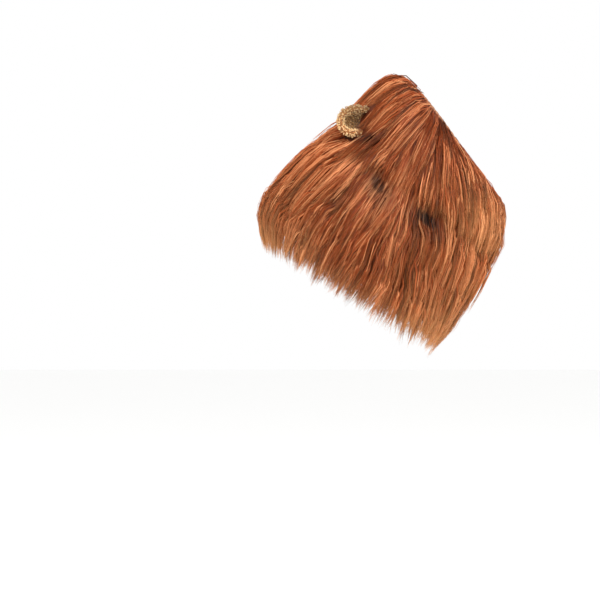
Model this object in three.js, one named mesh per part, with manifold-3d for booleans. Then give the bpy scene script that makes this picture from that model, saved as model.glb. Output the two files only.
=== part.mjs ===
// A lion-mane wig for a large dog: a hollow knitted hood that is pulled over the head and neck, deep pile
// in two tiers of locks round it, an elastic hem round the face and two cupped plush ears.
// Millimetres. +X is the way the wearer faces, +Y the wearer's left, +Z up. The origin is where the crown of
// the wearer's head rests against the inside of the hood.
import * as THREE from 'three';
import { mergeVertices } from 'three/addons/utils/BufferGeometryUtils.js';
import Module from 'manifold-3d';

const wasm = await Module();
wasm.setup();

// Hood: the inner face that the head and neck fill
const HOOD_LENGTH = 321; // along X, from the nape hem to the throat
const HOOD_HEIGHT = 322; // along Z, from the crown to the chest end of the rear hem
const HOOD_WIDTH = 246; // across the rear hem
const HOOD_WALL = 2; // knitted backing
const REAR_HEM_FOLD = 1.6; // how far the turned rear hem stands inside the wall
const FACE_HEM_RADIUS = 3.2; // elastic casing round the face
const FACE_HEM_GATHER = 0.5; // how far the gathers swell the casing
const FACE_HEM_GATHERS = 18;
const FACE_HEM_SIDES = 6;

// Pile: how thick the fur lies over the hood, and how far it hangs past the rear hem
const NAPE_PILE = 28;
const FLANK_PILE = 42;
const THROAT_PILE = 59;
const NAPE_OVERHANG = 66;
const CHEST_OVERHANG = 90;
const HANG_SWEEP = THREE.MathUtils.degToRad(14); // the hanging fur leans back this much from plumb

// Ears
const EAR_WIDTH = 44;
const EAR_HEIGHT = 58; // from the hood's outer face to the top of the rim
const EAR_CUP = 20; // how far the edges of the ear stand forward of its middle
const EAR_THICKNESS = 5;
const EAR_RIM = 9; // thickness of the padded rim
const EAR_LINING = 1.6;
const EAR_STATION = 2.63; // how far back on the hood, counted in its sections
const EAR_ANGLE = THREE.MathUtils.degToRad(22); // from the nape line, round towards the flank
const EAR_SWEEP = THREE.MathUtils.degToRad(50); // back from straight sideways
const EAR_LIFT = THREE.MathUtils.degToRad(-10); // above level, so the ear droops a little
const EAR_TURN = THREE.MathUtils.degToRad(12); // the cup's mouth turned upwards

const SEAT_GAP = 0.5; // between two pieces that touch on the real wig
const COLUMNS = 32; // facets round the hood and the fur
const SECTION_STEP = 0.75; // between two rings of the mesh, in sections

// Sections of the hood's inner face from the face hem to the rear hem. Each runs in the wearer's middle plane
// from a nape point to a throat point, given as shares of HOOD_LENGTH and HOOD_HEIGHT, and is an ellipse of
// the given half width, a share of HOOD_WIDTH.
const HOOD_SECTIONS = [
  { napeX: 0.068, napeZ: -0.022, throatX: 0.377, throatZ: -0.461, half: 0.285 },
  { napeX: 0.0, napeZ: 0.0, throatX: 0.401, throatZ: -0.518, half: 0.315 },
  { napeX: -0.106, napeZ: -0.063, throatX: 0.415, throatZ: -0.585, half: 0.36 },
  { napeX: -0.246, napeZ: -0.207, throatX: 0.391, throatZ: -0.691, half: 0.41 },
  { napeX: -0.391, napeZ: -0.341, throatX: 0.324, throatZ: -0.806, half: 0.45 },
  { napeX: -0.498, napeZ: -0.451, throatX: 0.256, throatZ: -0.898, half: 0.48 },
  { napeX: -0.584, napeZ: -0.566, throatX: 0.174, throatZ: -1.0, half: 0.5 },
];

// Sections of the inside of the fur that hangs past the rear hem: along is a share of the two overhangs.
const HANG_SECTIONS = [
  { along: 0.5, half: 0.51 },
  { along: 1.0, half: 0.5 },
];

// How deep the pile is at each of these sections on the nape line, the flank and the throat line, as shares
// of the three depths.
const PILE_SECTIONS = [
  { nape: 0.39, flank: 0.2, throat: 0.15 },
  { nape: 0.68, flank: 0.5, throat: 0.46 },
  { nape: 0.61, flank: 0.64, throat: 0.53 },
  { nape: 0.75, flank: 0.76, throat: 0.57 },
  { nape: 0.86, flank: 0.88, throat: 0.65 },
  { nape: 0.9, flank: 0.98, throat: 0.74 },
  { nape: 1.0, flank: 1.0, throat: 0.82 },
  { nape: 0.86, flank: 0.84, throat: 0.56 },
  { nape: 0.3, flank: 0.34, throat: 0.16 },
];

const HEM_STATION = HOOD_SECTIONS.length - 1;
const TIP_STATION = HEM_STATION + HANG_SECTIONS.length;
const SEAM_STATION = 3.15; // where the crown fur's backing ends and the neck fur's begins
const SEAM_STEP = 0.03; // what is left free between the two backings, in sections
const NECK_BACKING_END = 6.9;
const REAR_HEM_START = 5.6; // the rear hem is turned inside from here on
const REAR_HEM_EDGE = 5.68; // where it has its full thickness

// Where the crown locks lie over the neck fur: the neck fur stays under one depth and the crown locks over
// the other, as shares of the pile.
const OVERLAP = [
  { station: 3.15, under: 0.52, over: 0.64 },
  { station: 3.85, under: 0.76, over: 0.84 },
  { station: 4.5, under: 1, over: 1 },
];

// Hollows where the tips of the crown locks part from the neck fur: section, angle from the nape line in
// degrees, reach along the hood in sections and round it in degrees, and depth as a share of the pile.
const PARTINGS = [
  { station: 3.8, angle: 75, along: 0.28, around: 8, depth: 0.42 },
  { station: 3.85, angle: 107, along: 0.26, around: 12, depth: 0.46 },
  { station: 4.8, angle: 66, along: 0.45, around: 7, depth: 0.22 },
];

// Rows of locks: the sections where each row is rooted and ends, how many locks go round, and by how much of
// their pitch the first one stands beside the nape line, a half or nothing so that both sides mirror.
const CROWN_LOCK_ROWS = [
  { root: 0.08, tip: 2.1, count: 10, shift: 0 },
  { root: 1.0, tip: 3.1, count: 12, shift: 0.5 },
  { root: 1.9, tip: 3.85, count: 14, shift: 0 },
];
const NECK_LOCK_ROWS = [
  { root: 3.4, tip: 5.1, count: 12, shift: 0.5 },
  { root: 4.2, tip: 6.2, count: 14, shift: 0 },
  { root: 5.1, tip: 7.3, count: 16, shift: 0.5 },
  { root: 5.9, tip: TIP_STATION, count: 18, shift: 0 },
];
// One lock from root to tip: along is a share of its length, width of its own pitch, rise and sink are the
// crest and the underside as shares of the pile's depth.
const LOCK_STATIONS = [
  { along: 0.0, width: 0.75, rise: 0.7, sink: 0.42 },
  { along: 0.3, width: 1.1, rise: 0.97, sink: 0.5 },
  { along: 0.62, width: 1.0, rise: 1.0, sink: 0.52 },
  { along: 0.85, width: 0.62, rise: 0.98, sink: 0.66 },
];
const LOCK_TIP_RISE = 0.86;
const LOCK_EDGE = 0.2; // where a lock's side edges lie between its underside and its crest
const LOCK_LENGTH_SPREAD = 0.09; // how much the locks of a row differ in length
const LOCK_CREST_SPREAD = 0.07; // and in how high they lie
const LOCK_SWING = 0.3; // how far a lock's tip swings sideways, in pitches
const LOCK_LEAST = 0.06; // the least thickness of a lock, as a share of the pile
const SPREAD_WAVES = 7.3; // how fast the locks of a row change from one to the next
const BACKING_RISE = 0.6; // the depth of the pile between the locks

const WELD = 0.01; // corners closer than this become one
const Y_AXIS = new THREE.Vector3(0, 1, 0);

function stations(from, to, step) {
  const count = Math.max(1, Math.round((to - from) / step));
  return Array.from({ length: count + 1 }, (_, i) => from + ((to - from) * i) / count);
}

// Curves through the table's rows; a station is a row's number, or a place between two rows.
function curveThrough(points) {
  return new THREE.CatmullRomCurve3(points, false, 'catmullrom', 0.5);
}

function inMiddlePlane(x, z) {
  return new THREE.Vector3(x * HOOD_LENGTH, 0, z * HOOD_HEIGHT);
}

// The line of a hood edge in the wearer's middle plane, carried on by the fur that hangs past it.
function edgeLine(points, overhang) {
  const down = new THREE.Vector3(-Math.sin(HANG_SWEEP), 0, -Math.cos(HANG_SWEEP));
  const rear = points[HEM_STATION];
  const hanging = HANG_SECTIONS.map((row) => rear.clone().addScaledVector(down, row.along * overhang));
  return curveThrough([...points, ...hanging]);
}

const napePoints = HOOD_SECTIONS.map((row) => inMiddlePlane(row.napeX, row.napeZ));
const throatPoints = HOOD_SECTIONS.map((row) => inMiddlePlane(row.throatX, row.throatZ));
const napeLine = edgeLine(napePoints, NAPE_OVERHANG);
const throatLine = edgeLine(throatPoints, CHEST_OVERHANG);
const widthLine = curveThrough(
  [...HOOD_SECTIONS, ...HANG_SECTIONS].map((row) => new THREE.Vector3(0, row.half * HOOD_WIDTH, 0)),
);
const pileLine = curveThrough(
  PILE_SECTIONS.map(
    (row) => new THREE.Vector3(row.nape * NAPE_PILE, row.flank * FLANK_PILE, row.throat * THROAT_PILE),
  ),
);

function at(curve, station) {
  return curve.getPoint(THREE.MathUtils.clamp(station / TIP_STATION, 0, 1));
}

// A point of the hood's inner face. The angle is 0 on the nape line, half a turn on the throat line, and
// grows towards the wearer's left.
function innerPoint(station, angle) {
  const nape = at(napeLine, station);
  const throat = at(throatLine, station);
  return nape
    .clone()
    .lerp(throat, (1 - Math.cos(angle)) / 2)
    .addScaledVector(Y_AXIS, at(widthLine, station).y * Math.sin(angle));
}

const SLOPE_STEP = 0.02;

function backwards(station, angle) {
  const before = innerPoint(Math.max(0, station - SLOPE_STEP), angle);
  return innerPoint(Math.min(TIP_STATION, station + SLOPE_STEP), angle).sub(before).normalize();
}

function outwards(station, angle) {
  const around = innerPoint(station, angle + SLOPE_STEP).sub(innerPoint(station, angle - SLOPE_STEP));
  return around.cross(backwards(station, angle)).normalize();
}

// The hood's inner face moved outwards by a distance.
function hoodPoint(station, angle, out) {
  return innerPoint(station, angle).addScaledVector(outwards(station, angle), out);
}

// The angle between a direction and the nape line, the same on the left and on the right.
function fromNape(angle) {
  return Math.abs(THREE.MathUtils.euclideanModulo(angle + Math.PI, 2 * Math.PI) - Math.PI);
}

function partingAt(station, angle) {
  return PARTINGS.reduce((left, parting) => {
    const along = (station - parting.station) / parting.along;
    const around = (THREE.MathUtils.radToDeg(fromNape(angle)) - parting.angle) / parting.around;
    return left * (1 - parting.depth * Math.exp(-along * along - around * around));
  }, 1);
}

function pileAt(station, angle) {
  const depths = at(pileLine, station);
  const lean = Math.cos(angle);
  const end = lean > 0 ? depths.x : depths.z;
  return (depths.y + (end - depths.y) * lean * lean) * partingAt(station, angle);
}

// A point in the pile: depth 0 is its inner face and 1 its outer one.
function furPoint(station, angle, depth) {
  return hoodPoint(station, angle, HOOD_WALL + SEAT_GAP + depth * pileAt(station, angle));
}

function ring(pointAt, columns = COLUMNS) {
  return Array.from({ length: columns }, (_, i) => pointAt((2 * Math.PI * i) / columns));
}

// Joins rings of points with triangles, each four-sided patch split along its shorter diagonal. A closed loop
// of rings makes a hollow wall; otherwise both ends are capped, and a single point at the end makes a tip.
function skin(rings, closed) {
  const vertices = rings.flat();
  const starts = rings.map((_, i) => rings.slice(0, i).reduce((sum, r) => sum + r.length, 0));
  const faces = [];
  const last = closed ? rings.length : rings.length - 1;
  for (let i = 0; i < last; i += 1) {
    const next = (i + 1) % rings.length;
    const count = rings[i].length;
    for (let j = 0; j < count; j += 1) {
      const a = starts[i] + j;
      const b = starts[i] + ((j + 1) % count);
      if (rings[next].length === 1) {
        faces.push([a, b, starts[next]]);
      } else {
        const c = starts[next] + j;
        const d = starts[next] + ((j + 1) % count);
        const along = vertices[a].distanceTo(vertices[d]) <= vertices[b].distanceTo(vertices[c]);
        faces.push(...(along ? [[a, b, d], [a, d, c]] : [[a, b, c], [b, d, c]]));
      }
    }
  }
  if (!closed) {
    const end = rings.length - 1;
    faces.push(...cap(0, rings[0].length).map((face) => face.reverse()));
    faces.push(...cap(starts[end], rings[end].length));
  }
  return solidOf(vertices, faces);
}

// Triangles that close a ring, in strips between its two halves, so that a bent band closes cleanly too.
function cap(start, count) {
  const faces = [];
  for (let j = 0; j < count / 2 - 1; j += 1) {
    const [a, b, c, d] = [j, j + 1, count - 2 - j, count - 1 - j].map((k) => start + k);
    faces.push([a, b, c], [a, c, d]);
  }
  return faces;
}

// A closed solid from points and triangles, turned so that its faces point outwards.
function solidOf(vertices, faces) {
  const geometry = new THREE.BufferGeometry().setFromPoints(vertices);
  geometry.setIndex(faces.flat());
  const merged = mergeVertices(geometry, 1e-3);
  const vertProperties = merged.attributes.position.array;
  const make = (triVerts) =>
    new wasm.Manifold(new wasm.Mesh({ numProp: 3, vertProperties, triVerts, tolerance: WELD }));
  const triVerts = new Uint32Array(merged.index.array);
  const solid = make(triVerts);
  return solid.volume() > 0 ? solid : make(triVerts.reverse());
}

function joined(solids) {
  return solids.reduce((sum, solid) => sum.add(solid));
}

// The largest body of a joined solid, without crumbs and without the sealed pockets between its locks.
function oneBody(solid) {
  return solid.decompose().reduce((largest, body) => (body.volume() > largest.volume() ? body : largest));
}

function meshOf(name, solid, material) {
  const { numProp, vertProperties, triVerts } = solid.getMesh();
  const geometry = new THREE.BufferGeometry();
  const positions = new Float32Array((vertProperties.length / numProp) * 3);
  for (let i = 0; i < positions.length / 3; i += 1) {
    positions.set(vertProperties.subarray(i * numProp, i * numProp + 3), i * 3);
  }
  geometry.setAttribute('position', new THREE.BufferAttribute(positions, 3));
  geometry.setIndex(new THREE.BufferAttribute(triVerts, 1));
  geometry.computeVertexNormals();
  const mesh = new THREE.Mesh(geometry, material);
  mesh.name = name;
  return mesh;
}

// The knitted hood: one wall, open at the face and at the rear, its rear edge turned inside as a hem.
const HOOD_STATIONS = [
  ...stations(0, SEAM_STATION, SECTION_STEP),
  ...stations(SEAM_STATION, HEM_STATION, SECTION_STEP).slice(1),
];

function hoodBacking() {
  const outer = HOOD_STATIONS.map((station) => ring((angle) => hoodPoint(station, angle, HOOD_WALL)));
  const innerStations = [...HOOD_STATIONS.filter((station) => station < REAR_HEM_START), REAR_HEM_START];
  const turned = [HEM_STATION, REAR_HEM_EDGE].map((station) =>
    ring((angle) => hoodPoint(station, angle, -REAR_HEM_FOLD)),
  );
  const inner = innerStations.reverse().map((station) => ring((angle) => hoodPoint(station, angle, 0)));
  return skin([...outer, ...turned, ...inner], true);
}

// The elastic casing round the face: a gathered tube that runs just ahead of the hood's front edge.
function faceHem() {
  const columns = 2 * FACE_HEM_GATHERS;
  const rings = Array.from({ length: FACE_HEM_SIDES }, (_, i) => {
    const turn = (2 * Math.PI * i) / FACE_HEM_SIDES;
    return ring((angle) => {
      const radius = FACE_HEM_RADIUS - (FACE_HEM_GATHER * (1 - Math.cos(FACE_HEM_GATHERS * angle))) / 2;
      const centre = hoodPoint(0, angle, HOOD_WALL / 2);
      const ahead = backwards(0, angle).negate();
      return centre
        .addScaledVector(ahead, FACE_HEM_RADIUS + SEAT_GAP + radius * Math.cos(turn))
        .addScaledVector(outwards(0, angle), radius * Math.sin(turn));
    }, columns);
  });
  return skin(rings, true);
}

// A column of a short table between its rows, and level past its ends.
function between(table, column, station) {
  const next = table.findIndex((row) => row.station > station);
  if (next === 0) return table[0][column];
  if (next < 0) return table[table.length - 1][column];
  const [from, to] = [table[next - 1], table[next]];
  return THREE.MathUtils.mapLinear(station, from.station, to.station, from[column], to[column]);
}

const everywhere = (depth) => () => depth;
const neckCeiling = (station) => between(OVERLAP, 'under', station);
const crownFloor = (station) => (station < SEAM_STATION ? 0 : between(OVERLAP, 'over', station));

// The dense pile next to the knit, from one station to another, as a hollow wall.
function pileBacking(from, to, ceiling, endDepth) {
  const shared = HOOD_STATIONS.filter((station) => station > from + SEAM_STEP && station < to - SEAM_STEP);
  const hanging = stations(HEM_STATION, TIP_STATION, SECTION_STEP).slice(1).filter((station) => station < to);
  const rows = [from, ...shared, ...(to > HEM_STATION ? [HEM_STATION, ...hanging] : []), to];
  const kept = [...new Set(rows)];
  const rise = (station) => Math.min(BACKING_RISE, ceiling(station)) * (station === to ? endDepth : 1);
  const outer = kept.map((station) => ring((angle) => furPoint(station, angle, rise(station))));
  const inner = [...kept].reverse().map((station) => ring((angle) => furPoint(station, angle, 0)));
  return skin([...outer, ...inner], true);
}

// A repeatable number from 0 to 1 for a lock, the same on the left and on the right.
function spread(away, seed) {
  return (1 + Math.sin(SPREAD_WAVES * away + seed)) / 2;
}

// One tapered lock of hair lying in the pile: four-sided, with a crest, two side edges and an underside.
function lock(row, number, floor, ceiling) {
  const pitch = (2 * Math.PI) / row.count;
  const start = (number + row.shift) * pitch;
  const away = fromNape(start);
  const side = Math.abs(Math.sin(start)) < 1e-6 ? 0 : Math.sign(Math.sin(start));
  const swing = LOCK_SWING * pitch * side * (2 * spread(away, row.root) - 1);
  const length = (row.tip - row.root) * (1 - LOCK_LENGTH_SPREAD * spread(away, row.root + 1));
  const crest = 1 - LOCK_CREST_SPREAD * spread(away, row.root + 2);
  const section = ({ along, width, rise, sink }) => {
    const station = row.root + along * length;
    const angle = start + swing * along * along;
    const half = (width * pitch) / 2;
    const top = Math.min(rise, ceiling(station)) * crest;
    const bottom = Math.max(Math.min(sink * crest, top - LOCK_LEAST), floor(station));
    const edge = bottom + (top - bottom) * LOCK_EDGE;
    return [
      furPoint(station, angle - half, edge),
      furPoint(station, angle, top),
      furPoint(station, angle + half, edge),
      furPoint(station, angle, bottom),
    ];
  };
  const tipStation = row.root + length;
  const tipDepth = Math.max(Math.min(LOCK_TIP_RISE, ceiling(tipStation)) * crest, floor(tipStation));
  const tip = [furPoint(tipStation, start + swing, tipDepth)];
  return skin([...LOCK_STATIONS.map(section), tip], false);
}

function furTier(backing, rows, floor, ceiling) {
  const locks = rows.flatMap((row) =>
    Array.from({ length: row.count }, (_, number) => lock(row, number, floor, ceiling)),
  );
  return joined([backing, ...locks]);
}

// The frame of one ear: height runs out from the hood, facing out of the cup's mouth, and across upwards.
function earFrame(side) {
  const height = new THREE.Vector3(
    -Math.cos(EAR_LIFT) * Math.sin(EAR_SWEEP),
    side * Math.cos(EAR_LIFT) * Math.cos(EAR_SWEEP),
    Math.sin(EAR_LIFT),
  );
  const level = new THREE.Vector3(Math.cos(EAR_SWEEP), side * Math.sin(EAR_SWEEP), 0);
  const across = new THREE.Vector3(0, 0, 1).projectOnPlane(height).normalize();
  const facing = level.multiplyScalar(Math.cos(EAR_TURN)).addScaledVector(across, Math.sin(EAR_TURN));
  const turned = across.projectOnPlane(facing).normalize();
  const base = hoodPoint(EAR_STATION, side * EAR_ANGLE, HOOD_WALL);
  return { height, facing, across: turned, base };
}

// The ear's outline from its root, inside the hood's face, to the top of its rim: half width as a share of
// the whole width, and how far the cup bends and the middle leans back, as shares of the cup's depth.
const EAR_OUTLINE = [
  { along: -0.3, half: 0.3, cup: 0.55, lean: -0.1 },
  { along: 0.1, half: 0.42, cup: 0.95, lean: -0.06 },
  { along: 0.35, half: 0.5, cup: 1.0, lean: 0.0 },
  { along: 0.58, half: 0.5, cup: 0.95, lean: 0.04 },
  { along: 0.78, half: 0.43, cup: 0.72, lean: 0.12 },
  { along: 0.92, half: 0.3, cup: 0.38, lean: 0.25 },
  { along: 1.0, half: 0.12, cup: 0.1, lean: 0.36 },
];
const EAR_COLUMNS = 10;
const CUP_BALANCE = 0.4; // keeps the bent ear on both sides of its middle plane
const LINING_REACH = 0.6; // of the ear's half width
const LINING_ROWS = 5; // of the outline's rows, from the root
const LINING_COLUMNS = Math.round(EAR_COLUMNS * LINING_REACH);
const RIM_REACH = 0.9; // where the rim has its full thickness sideways
const RIM_START = 0.7; // and upwards, from here
const RIM_FULL = 0.92; // to here

// A point of the ear's middle layer, moved along the cup's own normal by a thickness.
function earPoint(frame, row, share, forward) {
  const bend = row.cup * (share * share - CUP_BALANCE);
  const slope = Math.atan2(2 * row.cup * EAR_CUP * share, row.half * EAR_WIDTH);
  return frame.base
    .clone()
    .addScaledVector(frame.height, row.along * EAR_HEIGHT)
    .addScaledVector(frame.across, share * row.half * EAR_WIDTH - forward * Math.sin(slope))
    .addScaledVector(frame.facing, EAR_CUP * (bend + row.lean) + forward * Math.cos(slope));
}

function plate(frame, rows, columns, reach, frontAt, backAt) {
  const shares = Array.from({ length: columns + 1 }, (_, j) => reach * ((2 * j) / columns - 1));
  const rings = rows.map((row) => [
    ...shares.map((share) => earPoint(frame, row, share, frontAt(row, share))),
    ...[...shares].reverse().map((share) => earPoint(frame, row, share, -backAt(row, share))),
  ]);
  return skin(rings, false);
}

// Half the ear's thickness: a plain middle and a padded rim.
function earHalf(row, share) {
  const sideways = THREE.MathUtils.smoothstep(Math.abs(share), LINING_REACH, RIM_REACH);
  const upwards = THREE.MathUtils.smoothstep(row.along, RIM_START, RIM_FULL);
  return (EAR_THICKNESS + (EAR_RIM - EAR_THICKNESS) * Math.max(sideways, upwards)) / 2;
}

// The padded plush ear. Grown by a clearance, it cuts the fur round its root.
function earShell(side, clearance) {
  const half = (row, share) => earHalf(row, share) + clearance;
  return plate(earFrame(side), EAR_OUTLINE, EAR_COLUMNS, 1 + (2 * clearance) / EAR_WIDTH, half, half);
}

// The lining in the ear's hollow, inside its rim, on the same columns as the shell behind it.
function earLining(side) {
  const under = (row, share) => earHalf(row, share) + SEAT_GAP;
  const over = (row, share) => under(row, share) + EAR_LINING;
  const rows = EAR_OUTLINE.slice(1, LINING_ROWS);
  return plate(earFrame(side), rows, LINING_COLUMNS, LINING_REACH, over, (row, share) => -under(row, share));
}

// The room in front of the lining, which the locks leave free.
function earMouth(side) {
  const over = (row, share) => earHalf(row, share) + 2 * SEAT_GAP + EAR_LINING;
  const rows = EAR_OUTLINE.slice(0, LINING_ROWS + 1);
  return plate(earFrame(side), rows, EAR_COLUMNS, 1, over, (row, share) => -earHalf(row, share));
}

// What the hood's outer face fills, grown by the seat gap: trims the ears' roots to sit on the knit.
function hoodCore() {
  const around = (station) => ring((angle) => hoodPoint(station, angle, HOOD_WALL + SEAT_GAP));
  return skin(HOOD_STATIONS.map(around), false);
}

const furMaterial = new THREE.MeshStandardMaterial({ color: 0xa85a34, roughness: 0.75, metalness: 0 });
const neckFurMaterial = new THREE.MeshStandardMaterial({ color: 0xa35632, roughness: 0.75, metalness: 0 });
const knitMaterial = new THREE.MeshStandardMaterial({ color: 0x6e4027, roughness: 0.95, metalness: 0 });
const earMaterial = new THREE.MeshStandardMaterial({ color: 0xc89a62, roughness: 0.9, metalness: 0 });
const liningMaterial = new THREE.MeshStandardMaterial({ color: 0x8a6238, roughness: 0.9, metalness: 0 });

const wig = new THREE.Group();
const core = hoodCore();
const ears = [
  { name: 'ear_right', side: -1 },
  { name: 'ear_left', side: 1 },
];
const earCut = joined(ears.map(({ side }) => earShell(side, SEAT_GAP).add(earMouth(side))));

wig.add(meshOf('hood_backing', hoodBacking(), knitMaterial));
wig.add(meshOf('face_hem', faceHem(), knitMaterial));

const crownBacking = pileBacking(0, SEAM_STATION, everywhere(1), 1);
const crownFur = oneBody(furTier(crownBacking, CROWN_LOCK_ROWS, crownFloor, everywhere(1)).subtract(earCut));
wig.add(meshOf('crown_fur', crownFur, furMaterial));

const neckBacking = pileBacking(SEAM_STATION + SEAM_STEP, NECK_BACKING_END, neckCeiling, 0.6);
const neckFur = oneBody(furTier(neckBacking, NECK_LOCK_ROWS, everywhere(0), neckCeiling).subtract(earCut));
wig.add(meshOf('neck_fur', neckFur, neckFurMaterial));

for (const { name, side } of ears) {
  wig.add(meshOf(`${name}_shell`, earShell(side, 0).subtract(core), earMaterial));
  wig.add(meshOf(`${name}_lining`, earLining(side).subtract(core), liningMaterial));
}

export default wig;
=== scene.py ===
"""A lion-mane costume wig: a knitted hood, an elastic face hem, two cupped plush ears and long fur.

Metres. +X is the way the wearer faces, +Y the wearer's left, +Z up. The origin is the inside of the hood at
the crown. A station is a place along the hood, from 0 at the face hem to 6 at the rear hem and 8 where the
hanging fur ends. An angle is 0 on the nape line, half a turn on the throat line, and grows to the left.
"""
import logging
import math
from dataclasses import dataclass, field
from enum import Enum
from typing import Optional
import bmesh
import bpy
import numpy as np
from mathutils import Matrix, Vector
from mathutils.kdtree import KDTree


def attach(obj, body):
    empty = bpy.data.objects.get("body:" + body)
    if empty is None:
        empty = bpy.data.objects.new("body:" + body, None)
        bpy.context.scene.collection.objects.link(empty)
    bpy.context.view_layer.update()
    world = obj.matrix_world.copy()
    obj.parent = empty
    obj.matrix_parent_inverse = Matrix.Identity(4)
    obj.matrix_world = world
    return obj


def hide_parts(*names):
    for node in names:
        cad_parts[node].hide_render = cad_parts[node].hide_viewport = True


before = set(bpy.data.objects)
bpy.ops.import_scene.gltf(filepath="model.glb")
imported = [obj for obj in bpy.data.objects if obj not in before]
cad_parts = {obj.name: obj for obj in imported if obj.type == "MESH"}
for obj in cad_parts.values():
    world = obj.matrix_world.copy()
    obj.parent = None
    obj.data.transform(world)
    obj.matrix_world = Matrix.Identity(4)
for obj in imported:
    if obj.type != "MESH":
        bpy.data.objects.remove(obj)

log = logging.getLogger("lion_mane")
Array = np.ndarray
Node = bpy.types.Node
Tree = bpy.types.NodeTree
Socket = bpy.types.NodeSocket

MATH = "ShaderNodeMath"
VECTOR_MATH = "ShaderNodeVectorMath"
MIX = "ShaderNodeMix"
RANGE = "ShaderNodeMapRange"
RAMP = "ShaderNodeValToRGB"
NOISE = "ShaderNodeTexNoise"
WAVES = "ShaderNodeTexWave"
READ = "GeometryNodeInputNamedAttribute"
STORE = "GeometryNodeStoreNamedAttribute"
RANDOM = "FunctionNodeRandomValue"

# One station is about 55 mm long, and once round the hood is about 0.6 m, for maps in metres
STATION_LENGTH = 0.055
GIRTH = 0.6
REAR_HEM = 6.0
# Small steps along and round the hood, for slopes
STATION_STEP = 0.02
ANGLE_STEP = 0.01


class Tier(Enum):
    """The two lengths of fur that overlap behind the ears."""

    CROWN = "crown_fur"
    NECK = "neck_fur"


class Side(Enum):
    """The wearer's two sides, with the sign of Y."""

    RIGHT = -1
    LEFT = 1


# Shape of the hood and of the fur round it


def from_nape(angle: Array) -> Array:
    """How far round the hood an angle is from the nape line, in degrees."""
    return np.degrees(np.abs((angle + np.pi) % (2 * np.pi) - np.pi))



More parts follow.
